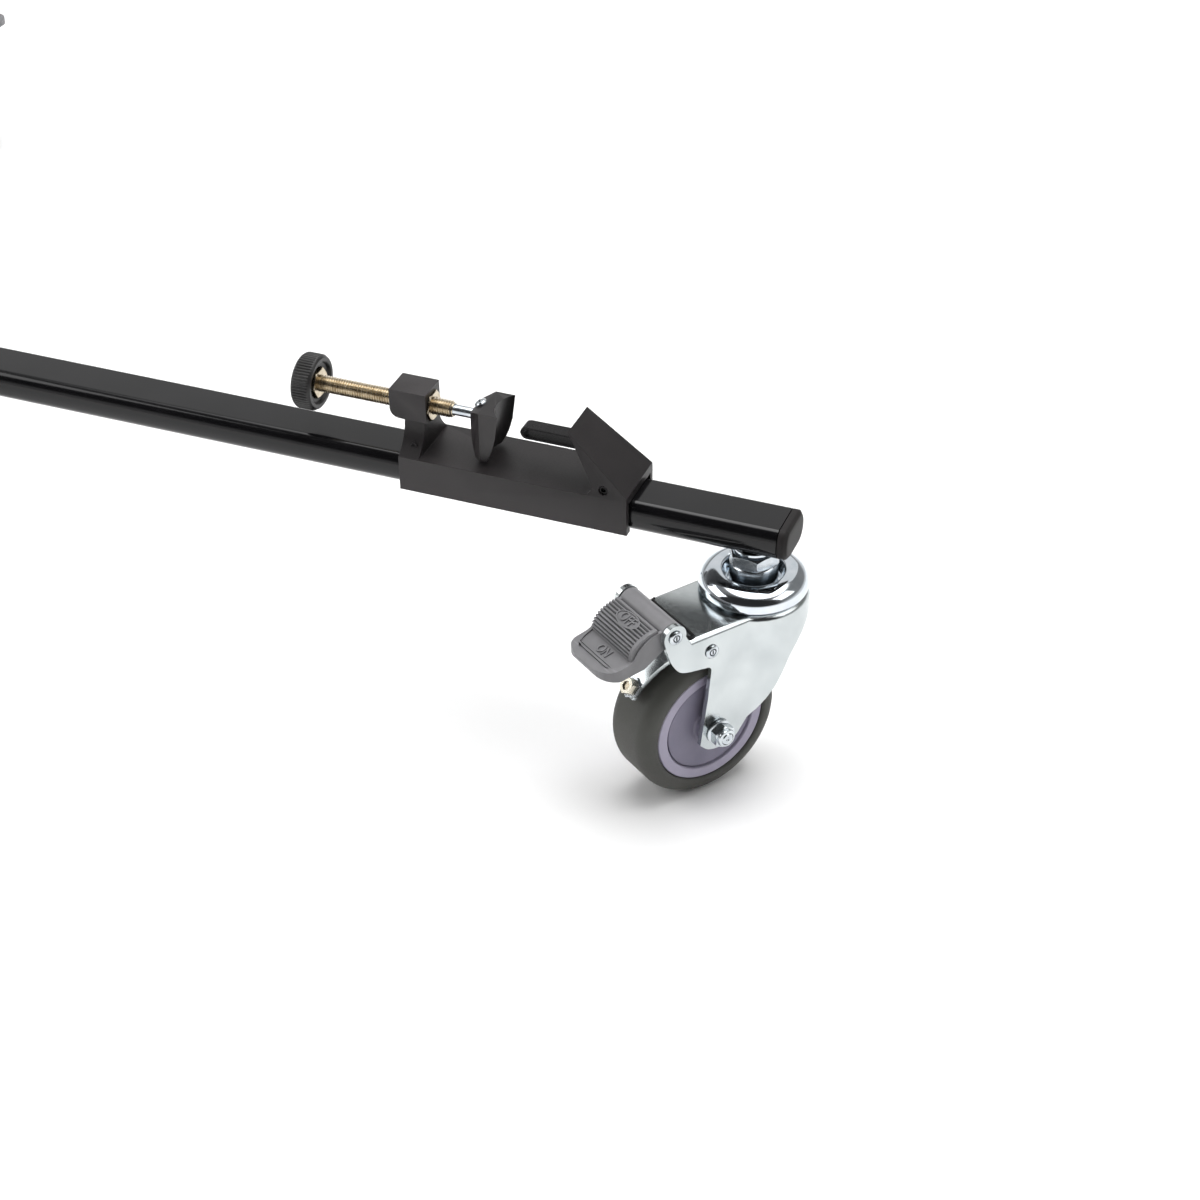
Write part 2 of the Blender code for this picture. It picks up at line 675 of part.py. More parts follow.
def clamp_jaw():
    """A block with a hollow face for a round foot, tapered toward its lower end."""
    top = SCREW_HEIGHT + JAW_TOP_ABOVE_SCREW
    floor = CLAMP_TOP + JAW_FLOOR_GAP
    left, right = JAW_LEFT, JAW_LEFT + JAW_DEPTH
    toe, heel = 6.5 * MM, 2.2 * MM
    side = smooth([
        (left, top), (left, floor + 9 * MM), (left + heel, floor),
    ])
    face = smooth([
        (right - toe, floor), (right - 3.8 * MM, floor + 6 * MM),
        (right - 0.9 * MM, top - 8 * MM), (right, top),
    ])
    jaw = prism("clamp_jaw", [*side, *face], 2 * JAW_HALF_WIDTH, "XZ")
    bevel = 3.2 * MM
    plan = [
        (left - MM, JAW_HALF_WIDTH - bevel - MM), (left + bevel, JAW_HALF_WIDTH),
        (right + MM, JAW_HALF_WIDTH), (right + MM, -JAW_HALF_WIDTH),
        (left + bevel, -JAW_HALF_WIDTH), (left - MM, -JAW_HALF_WIDTH + bevel + MM),
    ]
    jaw = trim(jaw, prism("plan", plan, 0.1, "XY"))
    groove = cylinder(
        "groove", JAW_GROOVE, -20 * MM, 60 * MM, "Z",
        (right - JAW_GROOVE_DEPTH + JAW_GROOVE, 0, 0), sides=48,
    )
    groove.data.transform(Matrix.Translation((0, 0, top)) @ Matrix.Rotation(radians(8), 4, "Y")
                          @ Matrix.Translation((0, 0, -top)))
    bore = cylinder(
        "bore", SCREW_PIN + PIN_GAP, left - MM, left + JAW_BORE_DEPTH, "X", (0, 0, SCREW_HEIGHT),
        sides=SMALL_ROUND,
    )
    return cut(jaw, groove, bore)


def lock_lever():
    """A folded strip that pivots between the cheeks and stands out of the wedge."""
    pin = (HALF_CLAMP - LEVER_PIN_BACK, LEVER_PIN_HEIGHT)
    half = LEVER_STRIP / 2
    bend = LEVER_FOLD / 2 - half
    tip = pin[0] - LEVER_REACH + LEVER_FOLD / 2
    middle = WEDGE_TIP_HEIGHT - LEVER_BELOW_TIP
    tail = wedge_points()[0][0] + 2 * MM
    path = [(tail, middle - bend)]
    path += arc((tip, middle), bend, -pi / 2, -1.5 * pi, 6)
    path += [(tail - 5 * MM, middle + bend), (tail, middle + bend - 1.2 * MM)]
    path += [(pin[0] - MM, pin[1] + 1.5 * MM)]
    mesh = bpy.data.meshes.new("lock_lever")
    sides = [(x, y, z) for x, z in path for y in (-LEVER_WIDTH / 2, LEVER_WIDTH / 2)]
    faces = [(2 * i, 2 * i + 1, 2 * i + 3, 2 * i + 2) for i in range(len(path) - 1)]
    mesh.from_pydata(sides, [], faces)
    strip = new_object("lock_lever", mesh)
    sheet = strip.modifiers.new("Sheet", "SOLIDIFY")
    sheet.thickness = LEVER_STRIP
    sheet.offset = 0.0
    sheet.use_even_offset = True
    bpy.context.view_layer.update()
    strip = bake(strip)
    place = (pin[0], 0, pin[1])
    eye = cylinder("eye", 3.6 * MM, -LEVER_WIDTH / 2, LEVER_WIDTH / 2, "Y", place, sides=SMALL_ROUND)
    nose = box(
        "nose", (pin[0] - 1.2 * MM, -LEVER_WIDTH / 2, 0.8 * MM), (pin[0] + 1.2 * MM, LEVER_WIDTH / 2, pin[1])
    )
    hole = cylinder("hole", LEVER_PIN + PIN_GAP, -LEVER_WIDTH, LEVER_WIDTH, "Y", place, sides=SMALL_ROUND)
    return cut(join(strip, eye, nose), hole)


def lever_pin():
    share = LEVER_PIN_HEIGHT / WEDGE_TIP_HEIGHT
    half = CHANNEL_OUTER + (WEDGE_TOP_WIDTH / 2 - CHANNEL_OUTER) * share - 0.2 * MM
    place = (HALF_CLAMP - LEVER_PIN_BACK, 0, LEVER_PIN_HEIGHT)
    return cylinder("lever_pin", LEVER_PIN, -half, half, "Y", place, sides=SMALL_ROUND)


# Caster: x along its trail, y along its axle, z from the floor

def caster_stem():
    """The kingpin that carries the fork, its collar, hex and washer, and the stud into the arm."""
    head = FORK_TOP - FORK_SHEET - GAP
    stem = turned("caster_stem", [
        (0.0, TUBE_UNDERSIDE + STEM_DEPTH),
        (STEM_THREAD, TUBE_UNDERSIDE + STEM_DEPTH),
        (STEM_THREAD, TUBE_UNDERSIDE - GAP),
        (8.5 * MM, TUBE_UNDERSIDE - GAP),
        (8.5 * MM, TUBE_UNDERSIDE - GAP - STEM_WASHER),
        (STEM_COLLAR * 0.9, NUT_BOTTOM + STEM_NUT - MM),
        (STEM_COLLAR * 0.9, NUT_BOTTOM),
        (STEM_COLLAR, NUT_BOTTOM - MM),
        (STEM_COLLAR, COLLAR_BOTTOM),
        (KINGPIN, COLLAR_BOTTOM),
        (KINGPIN, head),
        (9.5 * MM, head),
        (8.5 * MM, head - 2.4 * MM),
        (0.0, head - 2.4 * MM),
    ], steps=MEDIUM_ROUND)
    nut = hexagon("hex", STEM_FLATS, NUT_BOTTOM, NUT_BOTTOM + STEM_NUT)
    return join(stem, nut)


def swivel_cap():
    """The pressed ring-shaped cap over the ball race."""
    sheet, rim = CAP_RING_SHEET, FORK_TOP + 1.8 * MM
    crown = CAP_FLOOR + 7.7 * MM
    outer = smooth([
        (STEM_COLLAR + 1.7 * MM, CAP_FLOOR + sheet),
        (STEM_COLLAR + 3.2 * MM, crown - 0.9 * MM),
        (STEM_COLLAR + 6.8 * MM, crown),
        (CAP_RING_RADIUS - 2.6 * MM, crown - 1.7 * MM),
        (CAP_RING_RADIUS - 0.2 * MM, crown - 4.6 * MM),
    ], 1)
    inner = []
    for (r0, z0), (r1, z1), (r2, z2) in zip(outer, outer[1:], outer[2:]):
        away = Vector((z2 - z0, r0 - r2)).normalized() * sheet
        inner.append((r1 + away.x, z1 + away.y))
    inner = inner[1:]
    bore = KINGPIN + PIN_GAP
    profile = [(bore, CAP_FLOOR + sheet), *outer, (CAP_RING_RADIUS, rim), (CAP_RING_RADIUS - sheet, rim)]
    profile += [*reversed(inner), (STEM_COLLAR + 1.7 * MM, CAP_FLOOR), (bore, CAP_FLOOR)]
    return turned("swivel_cap", profile, closed=True)


def fork_plan(inset, steps=6):
    """The fork's bent sheet seen from above, from one front edge round the bowl to the other."""
    half, bowl = FORK_OUTER - inset, FORK_BOWL - inset
    meet = (bowl * bowl - half * half) ** 0.5
    turn = atan2(half, meet)
    return [(FORK_FRONT, half), *arc((0, 0), bowl, turn, 2 * pi - turn, 2 * steps), (FORK_FRONT, -half)]


def fork_shell():
    """Legs, bowl and crown as one bent sheet."""
    rows = [(0.0, AXLE_HEIGHT - 15 * MM), (0.0, FORK_TOP - FORK_BEND)]
    for i in range(1, 3):
        turn = pi / 2 * i / 2
        rows.append((FORK_BEND * (1 - cos(turn)), FORK_TOP - FORK_BEND * (1 - sin(turn))))
    mesh = bpy.data.meshes.new("fork")
    edit = bmesh.new()
    rings = []
    for inset, z in rows:
        rings.append([edit.verts.new((x, y, z)) for x, y in fork_plan(inset)])
    for low, high in zip(rings, rings[1:]):
        for i in range(len(low) - 1):
            edit.faces.new((low[i], low[i + 1], high[i + 1], high[i]))
    edit.faces.new(rings[-1])
    bmesh.ops.recalc_face_normals(edit, faces=edit.faces)
    if rings[-1][0].link_faces[-1].normal.z < 0:
        bmesh.ops.reverse_faces(edit, faces=edit.faces)
    edit.to_mesh(mesh)
    edit.free()
    shell = new_object("fork", mesh)
    sheet = shell.modifiers.new("Sheet", "SOLIDIFY")
    sheet.thickness = FORK_SHEET
    sheet.offset = -1.0
    sheet.use_even_offset = True
    bpy.context.view_layer.update()
    return bake(shell)


def leg_outline():
    """The side view of the legs and crown, (x, z), that the bent sheet is trimmed to."""
    top, axle = FORK_TOP, AXLE_HEIGHT
    rear = smooth([
        (-FORK_BOWL, top - 4.6 * MM),
        (-18 * MM, top - 9 * MM),
        (-4.5 * MM, top - 21.4 * MM),
        (0.7 * MM, top - 30.1 * MM),
        (5.9 * MM, axle + 15.7 * MM),
        (TRAIL - 14.5 * MM, axle - 1.2 * MM),
        (TRAIL - 9 * MM, axle - 7.6 * MM),
        (TRAIL - 2 * MM, axle - 9.6 * MM),
        (TRAIL + 5 * MM, axle - 8.6 * MM),
        (TRAIL + 9.6 * MM, axle - 4.6 * MM),
    ], 1)
    front = [(TRAIL + 5.9 * MM, axle + 19.5 * MM)]
    corner = 2.6 * MM
    knee = (TRAIL + 4.1 * MM + corner, top - 17.4 * MM - corner)
    front += arc(knee, corner, pi, pi / 2, 3)
    above = top + 5 * MM
    return [
        (-FORK_BOWL - 5 * MM, above), (-FORK_BOWL - 5 * MM, top - 4.6 * MM), *rear, *front,
        (FORK_FRONT + MM, top - 15.8 * MM), (FORK_FRONT + MM, above),
    ]


def pedal_pin_place():
    return PEDAL_PIN_X, FORK_TOP + PEDAL_PIN_RISE


def ear_outline():
    """The lug at the front of a leg that carries the pedal's pin."""
    x, z = pedal_pin_place()
    top = FORK_TOP
    chin = smooth([
        (FORK_FRONT - 2 * MM, top - 16.2 * MM),
        (FORK_FRONT + MM, top - 15.8 * MM),
        (x - 2.6 * MM, top - 13.8 * MM),
        (x + 1.5 * MM, top - 8.3 * MM),
        (x + 3.9 * MM, top - 1.7 * MM),
        (x + EAR_RADIUS * cos(radians(-12)), z + EAR_RADIUS * sin(radians(-12))),
    ], 1)
    crown = arc((x, z), EAR_RADIUS, radians(15), radians(195), 6)
    return [*chin, *crown, (FORK_FRONT + 0.4 * MM, top - 0.8 * MM), (FORK_FRONT - 2 * MM, top - 3.5 * MM)]


def fork():
    body = trim(fork_shell(), prism("side_view", leg_outline(), 4 * FORK_BOWL, "XZ"))
    for side in (-1, 1):
        middle = side * (FORK_INNER + FORK_SHEET / 2)
        body = join(body, prism("ear", ear_outline(), FORK_SHEET, "XZ", middle))
    crown = FORK_TOP + MM
    race = turned("race", [
        (0.0, RACE_TOP),
        (RACE_RADIUS, RACE_TOP),
        (RACE_RADIUS, crown),
        (FORK_BOWL - 1.6 * MM, crown),
        (FORK_BOWL - 0.4 * MM, crown - 1.2 * MM),
        (FORK_BOWL - 0.4 * MM, FORK_TOP - FORK_BEND),
        (FORK_BOWL - 2 * MM, FORK_TOP - 1.5 * MM),
        (0.0, FORK_TOP - 1.5 * MM),
    ], steps=MEDIUM_ROUND)
    body = join(body, race)
    kingpin = cylinder("kingpin_hole", KINGPIN + PIN_GAP, FORK_TOP - 10 * MM, RACE_TOP + MM)
    body = cut(body, kingpin)
    x, z = pedal_pin_place()
    for radius, px, pz in (
        (AXLE, TRAIL, AXLE_HEIGHT),
        (PEDAL_PIN, x, z),
        (PEDAL_PIN, SHOE_PIN_X, FORK_TOP - SHOE_PIN_DROP),
    ):
        body = cut(body, cylinder(
            "pin_hole", radius + PIN_GAP, -FORK_BOWL, FORK_BOWL, "Y", (px, 0, pz), sides=SMALL_ROUND
        ))
    return body


def wheel_core():
    face, step = WHEEL_FACE, WHEEL_FACE - WHEEL_DISC_STEP
    outer, half = TYRE_BORE - GAP, HALF_WHEEL_HUB
    right = [
        (AXLE + PIN_GAP, half),
        (WHEEL_HUB, half),
        (WHEEL_HUB + 0.8 * MM, step),
        (RIM_INNER - 0.4 * MM, step),
        (RIM_INNER, face),
        (outer, face),
    ]
    profile = [*right, *[(r, -h) for r, h in reversed(right)]]
    return turned("wheel_core", profile, "Y", closed=True, steps=ROUND)


def tyre():
    half, shoulder = TYRE_WIDTH / 2, TYRE_SHOULDER
    right = [(TYRE_BORE, WHEEL_FACE - 0.2 * MM), (TYRE_BORE + 1.2 * MM, half)]
    for r, h in reversed(arc((WHEEL_RADIUS - shoulder, half - shoulder), shoulder, 0, pi / 2, 2)):
        right.append((r, h))
    profile = [*right, *[(r, -h) for r, h in reversed(right)]]
    return turned("tyre", profile, "Y", closed=True, steps=ROUND)


def axle_bolt():
    head = FORK_OUTER + GAP
    place = (TRAIL, 0, AXLE_HEIGHT)
    bolt = cylinder("axle_bolt", AXLE, -head - MM, head + 7.6 * MM, "Y", place, sides=SMALL_ROUND)
    hexagonal = hexagon("bolt_head", 10 * MM, -head - 4 * MM, -head, "Y", place)
    return join(bolt, hexagonal)


def axle_nut():
    """A flanged lock nut with its round collar."""
    seat = FORK_OUTER + GAP
    place = (TRAIL, 0, AXLE_HEIGHT)
    nut = turned("axle_nut", [
        (0.0, seat + 7.2 * MM),
        (4.3 * MM, seat + 7.2 * MM),
        (4.6 * MM, seat + 1.4 * MM),
        (6.2 * MM, seat + 1.0 * MM),
        (6.2 * MM, seat),
        (0.0, seat),
    ], "Y", steps=SMALL_ROUND)
    move(nut, TRAIL, 0, AXLE_HEIGHT)
    hexagonal = hexagon("hex", 10 * MM, seat + 1.2 * MM, seat + 5.6 * MM, "Y", place)
    bore = cylinder("bore", AXLE + PIN_GAP, seat - MM, seat + 9 * MM, "Y", place, sides=SMALL_ROUND)
    return cut(join(nut, hexagonal), bore)


def riveted_pin(name, radius, x, z):
    """A pin through both legs with a low head on each end."""
    head = FORK_OUTER + GAP
    half = [(0.0, head + 0.9 * MM), (1.7 * radius, head + 0.8 * MM), (1.7 * radius, head), (radius, head)]
    pin = turned(name, [*half, *[(r, -h) for r, h in reversed(half)]], "Y", steps=SMALL_ROUND)
    return move(pin, x, 0, z)


def brake_pin():
    return riveted_pin("brake_pin", PEDAL_PIN, *pedal_pin_place())


def pad_line():
    """The pad's bulging outer line, (x, z) from the pedal's pin."""
    return smooth([
        (6.6 * MM, 4.2 * MM), (11.5 * MM, 3.3 * MM), (16.6 * MM, 0.9 * MM),
        (19.9 * MM, -2.8 * MM), (20.9 * MM, -7.0 * MM),
    ])


def point_along(line, distance):
    """The point at a distance along a line, and the direction that points out of its left side."""
    for a, b in zip(line, line[1:]):
        step = hypot(b[0] - a[0], b[1] - a[1])
        if distance <= step or b == line[-1]:
            share = distance / step
            place = (a[0] + (b[0] - a[0]) * share, a[1] + (b[1] - a[1]) * share)
            return place, ((a[1] - b[1]) / step, (b[0] - a[0]) / step)
        distance -= step


def rib_cutter(line):
    """What cuts the grooves between the pad's ribs: a comb of notches that follows the pad's line."""
    length = sum(hypot(b[0] - a[0], b[1] - a[1]) for a, b in zip(line, line[1:]))
    first, last = RIB_START * length, RIB_END * length
    teeth, back = [], []
    for i in range(2 * RIB_COUNT + 1):
        place, out = point_along(line, first + (last - first) * i / (2 * RIB_COUNT))
        depth = -RIB_DEPTH if i % 2 else RIB_DEPTH / 4
        teeth.append((place[0] + out[0] * depth, place[1] + out[1] * depth))
        if i % 4 == 0:
            back.append((place[0] + out[0] * 3 * MM, place[1] + out[1] * 3 * MM))
    return prism("ribs", [*teeth, *reversed(back)], PAD_WIDTH - 2 * RIB_INSET, "XZ")


def brake_pedal():
    """The pedal: a roller on the pin, a ribbed pad, and a lower flap with a thick lip."""
    x, z = pedal_pin_place()
    half = FORK_INNER - GAP
    roller = cylinder("brake_pedal", PEDAL_ROLLER, -half, half, "Y", (x, 0, z), sides=MEDIUM_ROUND)
    base = smooth([
        (4.5 * MM, 3.0 * MM), (11.5 * MM, 1.6 * MM), (17 * MM, -2.2 * MM), (20.4 * MM, -6.8 * MM),
        (25 * MM, -8.4 * MM), (30.5 * MM, -8.9 * MM), (34.2 * MM, -9.2 * MM), (35.6 * MM, -10.4 * MM),
        (34.6 * MM, -12.8 * MM),
    ])
    under = [(27 * MM, -14.8 * MM), (14 * MM, -13.2 * MM), (4 * MM, -7 * MM), (1.5 * MM, -4 * MM)]
    outline = [(x + u, z + v) for u, v in [*base, *under]]
    flap = prism("flap", outline, PEDAL_WIDTH, "XZ")
    reach, corner = x + 36.4 * MM, 12 * MM
    side = PEDAL_WIDTH / 2
    right = [(x - 2 * MM, -side), *arc((reach - corner, -side + corner), corner, -pi / 2, 0, 6)]
    plan = [*right, *[(u, -v) for u, v in reversed(right)]]
    flap = trim(flap, prism("plan", plan, 0.4, "XY"))
    line = [(x + u, z + v) for u, v in pad_line()]
    pad_under = [(x + 15 * MM, z - 6 * MM), (x + 5 * MM, z - 2 * MM)]
    pad = prism("pad", [*line, *pad_under], PAD_WIDTH, "XZ")
    pad = cut(pad, rib_cutter(line))
    room = [(8 * MM, -20 * MM), (8.5 * MM, -3.8 * MM), (13 * MM, -2.6 * MM), (16.5 * MM, -5.4 * MM),
            (19 * MM, -9.4 * MM), (24 * MM, -11.2 * MM), (31.5 * MM, -12 * MM), (31.5 * MM, -20 * MM)]
    hollow = prism("hollow", [(x + u, z + v) for u, v in room], PEDAL_WIDTH - 5.2 * MM, "XZ")
    pedal = cut(join(flap, pad), hollow)
    pedal = join(pedal, roller)
    bore = cylinder("bore", PEDAL_PIN + PIN_GAP, -FORK_BOWL, FORK_BOWL, "Y", (x, 0, z), sides=SMALL_ROUND)
    pedal = cut(pedal, bore)
    pedal.name = "brake_pedal"
    return pedal


def brake_plate():
    """The shoe that bends over the tyre, its pin, and the screw that sets its bite."""
    centre = (TRAIL, AXLE_HEIGHT)
    inner = WHEEL_RADIUS + SHOE_GAP
    outer = inner + SHOE_SHEET
    px, pz = SHOE_PIN_X, FORK_TOP - SHOE_PIN_DROP
    start = atan2(pz - centre[1], px - centre[0] - 3 * MM)
    end = SHOE_SCREW_ANGLE - radians(6)
    band_outline = [*arc(centre, inner, start, end, 7), *arc(centre, outer, end, start, 7)]
    plate = prism("brake_plate", band_outline, SHOE_WIDTH, "XZ")
    neck = [
        (px - 3.4 * MM, pz), (px - 3.4 * MM, centre[1] + inner + 0.8 * MM),
        (px + 3.4 * MM, centre[1] + inner + 0.3 * MM), (px + 3.4 * MM, pz),
    ]
    eye = cylinder("eye", 3.4 * MM, -SHOE_WIDTH / 2, SHOE_WIDTH / 2, "Y", (px, 0, pz), sides=SMALL_ROUND)
    plate = join(plate, prism("neck", neck, SHOE_WIDTH - MM, "XZ"), eye)
    tip = centre[0] + outer * cos(end)
    plan = [(px - 8 * MM, -SHOE_WIDTH), (px + 8 * MM, -SHOE_WIDTH / 2), (tip, -SHOE_TIP / 2)]
    plate = trim(plate, prism("plan", [*plan, *[(u, -v) for u, v in reversed(plan)]], 0.4, "XY"))
    plate = join(plate, riveted_pin("pin", PEDAL_PIN, px, pz))
    near, far = WHEEL_RADIUS + SHOE_SCREW_GAP, outer + 4.4 * MM
    screw = cylinder("screw", 2 * MM, near, far - MM, "Z", sides=SMALL_ROUND)
    head = hexagon("head", 7 * MM, outer + 0.8 * MM, far)
    boss = hexagon("boss", 9 * MM, inner + 0.5 * MM, outer + MM)
    setter = join(screw, boss, head)
    aim = Matrix.Rotation(pi / 2 - SHOE_SCREW_ANGLE, 4, "Y")
    setter.data.transform(Matrix.Translation((TRAIL, 0, AXLE_HEIGHT)) @ aim)
    plate = join(plate, setter)
    plate.name = "brake_plate"
    return plate


# Assembly

def empty(name, parent, place, turn=0.0):
    """An axis or frame that pieces hang on, placed in its parent's frame."""
    frame = bpy.data.objects.new(name, None)
    frame.empty_display_size = 0.01
    COLLECTION.objects.link(frame)
    frame.parent = parent
    frame.location = place
    frame.rotation_euler = (0, 0, turn)
    return frame


def seat(mesh, name, parent, material):
    """Hangs a finished mesh on a frame; the mesh is already in that frame's coordinates."""
    obj = bpy.data.objects.new(name, mesh)
    COLLECTION.objects.link(obj)
    obj.parent = parent
    if not mesh.materials:
        mesh.materials.append(SHADES[material])
    return obj


def merge_flats(mesh):
    """Joins faces that lie in one plane, and drops the corners left over inside straight edges."""
    edit = bmesh.new()
    edit.from_mesh(mesh)
    bmesh.ops.dissolve_limit(edit, angle_limit=radians(0.3), verts=edit.verts, edges=edit.edges)
    edit.to_mesh(mesh)
    edit.free()


def finished(obj, origin=(0, 0, 0)):
    """The object's mesh moved so that the given point becomes its origin, and shaded smooth."""
    mesh = obj.data
    merge_flats(mesh)
    mesh.transform(Matrix.Translation(-Vector(origin)))
    mesh.shade_smooth()
    mesh.set_sharp_from_angle(angle=radians(35))
    bpy.data.objects.remove(obj, do_unlink=True)
    return mesh


def build_arm_pieces():
    """Every piece of one arm: its mesh, the frame that it hangs on, and its material."""
    lever = (HALF_CLAMP - LEVER_PIN_BACK, 0, LEVER_PIN_HEIGHT)
    screw = (0, 0, SCREW_HEIGHT)
    wheel = (TRAIL, 0, AXLE_HEIGHT)
    x, z = pedal_pin_place()
    shoe = (SHOE_PIN_X, 0, FORK_TOP - SHOE_PIN_DROP)
    pivot = (PIVOT_RADIUS, 0, 0)
    return {
        "arm_tube": (finished(arm_tube(), pivot), "arm", "black_anodised"),
        "arm_end_cap": (finished(arm_end_cap(), pivot), "arm", "black_plastic"),
        "clamp_body": (finished(clamp_body()), "clamp", "black_plastic"),
        "clamp_nut": (finished(clamp_nut()), "clamp", "yellow_zinc"),
        "lever_pin": (finished(lever_pin()), "clamp", "black_steel"),
        "clamp_jaw": (finished(clamp_jaw()), "jaw", "black_plastic"),
        "clamp_screw": (finished(clamp_screw(), screw), "screw", "yellow_zinc"),
        "clamp_knob": (finished(clamp_knob(), screw), "screw", "black_plastic"),
        "lock_lever": (finished(lock_lever(), lever), "lever", "black_steel"),
        "caster_stem": (finished(caster_stem()), "stem", "zinc_steel"),
        "swivel_cap": (finished(swivel_cap()), "stem", "polished_zinc"),
        "fork": (finished(fork()), "swivel", "zinc_steel"),
        "axle_bolt": (finished(axle_bolt()), "swivel", "zinc_steel"),
        "axle_nut": (finished(axle_nut()), "swivel", "zinc_steel"),
        "brake_pin": (finished(brake_pin()), "swivel", "zinc_steel"),
        "wheel_core": (finished(wheel_core()), "wheel", "wheel_plastic"),
        "tyre": (finished(tyre()), "wheel", "tyre_rubber"),
        "brake_pedal": (finished(brake_pedal(), (x, 0, z)), "pedal", "grey_plastic"),
        "brake_plate": (finished(brake_plate(), shoe), "shoe", "zinc_steel"),
    }, {"lever": lever, "screw": screw, "wheel": wheel, "pedal": (x, 0, z), "shoe": shoe}


def arm_frames(number, places):
    """The frames of one arm, each with its origin on the axis of its joint."""
    turn = 2 * pi * (number - 1) / ARM_COUNT
    pivot = (PIVOT_RADIUS * cos(turn), PIVOT_RADIUS * sin(turn), 0)
    arm = empty(f"arm_{number}_pivot", None, pivot, turn)
    reach = ARM_REACH - PIVOT_RADIUS
    clamp = empty(f"arm_{number}_clamp_slide", arm, (reach - CLAMP_INSET, 0, TUBE_TOP))
    jaw = empty(f"arm_{number}_jaw_slide", clamp, (0, 0, 0))
    stem = empty(f"arm_{number}_stem", arm, (reach, 0, -RIDE_HEIGHT))
    swivel = empty(f"arm_{number}_swivel", stem, (0, 0, 0), CASTER_REST_ANGLE)
    return {
        "arm": arm,
        "clamp": clamp,
        "jaw": jaw,
        "screw": empty(f"arm_{number}_screw_axis", jaw, places["screw"]),
        "lever": empty(f"arm_{number}_lever_axis", clamp, places["lever"]),
        "stem": stem,
        "swivel": swivel,
        "wheel": empty(f"arm_{number}_wheel_axis", swivel, places["wheel"]),
        "pedal": empty(f"arm_{number}_pedal_axis", swivel, places["pedal"]),
        "shoe": empty(f"arm_{number}_shoe_axis", swivel, places["shoe"]),
    }


def build():
    pieces, places = build_arm_pieces()
    fixed_tube = finished(fixed_arm_tube(), (PIVOT_RADIUS, 0, 0))
    for number in range(1, ARM_COUNT + 1):
        frames = arm_frames(number, places)
        for name, (mesh, frame, material) in pieces.items():
            if name == "arm_tube" and number == 1:
                mesh = fixed_tube
            seat(mesh, f"{name}_{number}", frames[frame], material)
    seat(finished(hub_lower_plate()), "hub_lower_plate", None, "black_steel")
    seat(finished(hub_upper_plate()), "hub_upper_plate", None, "black_steel")
    seat(finished(hub_knob()), "hub_knob", None, "black_plastic")


clear_scene()
SHADES = {name: make_material(name) for name in MATERIALS}
COLLECTION = bpy.data.collections.new("tripod_dolly")
bpy.context.scene.collection.children.link(COLLECTION)
WORKSHOP = bpy.data.collections.new("workshop")
WORKSHOP.hide_render = True
bpy.context.scene.collection.children.link(WORKSHOP)
build()
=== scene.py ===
"""Looks of the tripod dolly: a finer piece for each CAD node, its finish, the studio and the camera.

Each arm's pieces are made once, in the arm's own frames, and copied onto all three arms.
"""
import json
from math import atan2, cos, hypot, pi, radians, sin

import bmesh
import bpy
from mathutils import Matrix, Vector

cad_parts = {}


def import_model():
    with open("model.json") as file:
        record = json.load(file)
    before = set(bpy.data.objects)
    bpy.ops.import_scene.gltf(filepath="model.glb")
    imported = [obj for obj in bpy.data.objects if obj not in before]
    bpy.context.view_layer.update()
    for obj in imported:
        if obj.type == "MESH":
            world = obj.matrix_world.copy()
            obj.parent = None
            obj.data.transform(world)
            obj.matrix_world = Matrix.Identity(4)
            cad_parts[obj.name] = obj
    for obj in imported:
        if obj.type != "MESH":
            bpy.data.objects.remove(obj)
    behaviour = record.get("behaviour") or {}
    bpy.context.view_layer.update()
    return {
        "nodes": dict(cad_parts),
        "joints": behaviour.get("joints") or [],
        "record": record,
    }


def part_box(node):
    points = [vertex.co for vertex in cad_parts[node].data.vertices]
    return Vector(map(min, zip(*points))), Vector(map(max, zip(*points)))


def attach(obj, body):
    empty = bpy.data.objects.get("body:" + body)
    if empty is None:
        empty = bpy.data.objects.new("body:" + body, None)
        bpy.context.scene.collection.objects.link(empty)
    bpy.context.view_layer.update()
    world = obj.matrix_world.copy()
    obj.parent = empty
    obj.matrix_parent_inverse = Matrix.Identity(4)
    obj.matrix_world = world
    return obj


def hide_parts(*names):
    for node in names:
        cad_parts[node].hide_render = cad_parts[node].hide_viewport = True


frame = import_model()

MM = 0.001
JOINTS = {joint["name"]: joint for joint in frame["joints"]}
BODY_OF = {
    node: body for body, nodes in frame["record"]["behaviour"]["bodies"].items() for node in nodes
}

# Sizes of the CAD that the finer pieces keep, in millimetres; the helpers scale them to metres
TUBE_WIDTH, TUBE_HEIGHT, TUBE_WALL = 27, 16, 1.8
TUBE_TOP_FLAT, TUBE_BOTTOM_FLAT = 17, 12
TUBE_START, TUBE_PAST_STEM = 26, 14
GAP = 0.3
LEVER_FROM_MIDDLE = 44.2
SCREW_HEIGHT, SCREW_RADIUS, SCREW_PITCH = 22.6, 4, 1.25
THREAD_END, SCREW_TIP = -34.0, -15.6
KNOB_FACE, KNOB_THICKNESS, KNOB_RADIUS = -100.8, 10, 13.2
HEX_FLATS = 12.8
JAW_LEFT, JAW_DEPTH, JAW_HALF_WIDTH = -23.2, 15.2, 10.4
JAW_TOP, JAW_FLOOR = 29.7, 4.9
HEAD_HALF_WIDTH, HEAD_BOTTOM, HEAD_TOP, HEAD_FACE = 7.8, 17.3, 31.7, -44.6
NUT_START, POCKET_FLATS = -51.1, 13.4
WHEEL_RADIUS, TYRE_WIDTH, TYRE_BORE = 37.5, 29.2, 28.9
RIM_INNER, WHEEL_FACE, WHEEL_HUB, HALF_HUB = 23.6, 13.8, 8, 16.8
TRAIL, AXLE = 32.6, 3
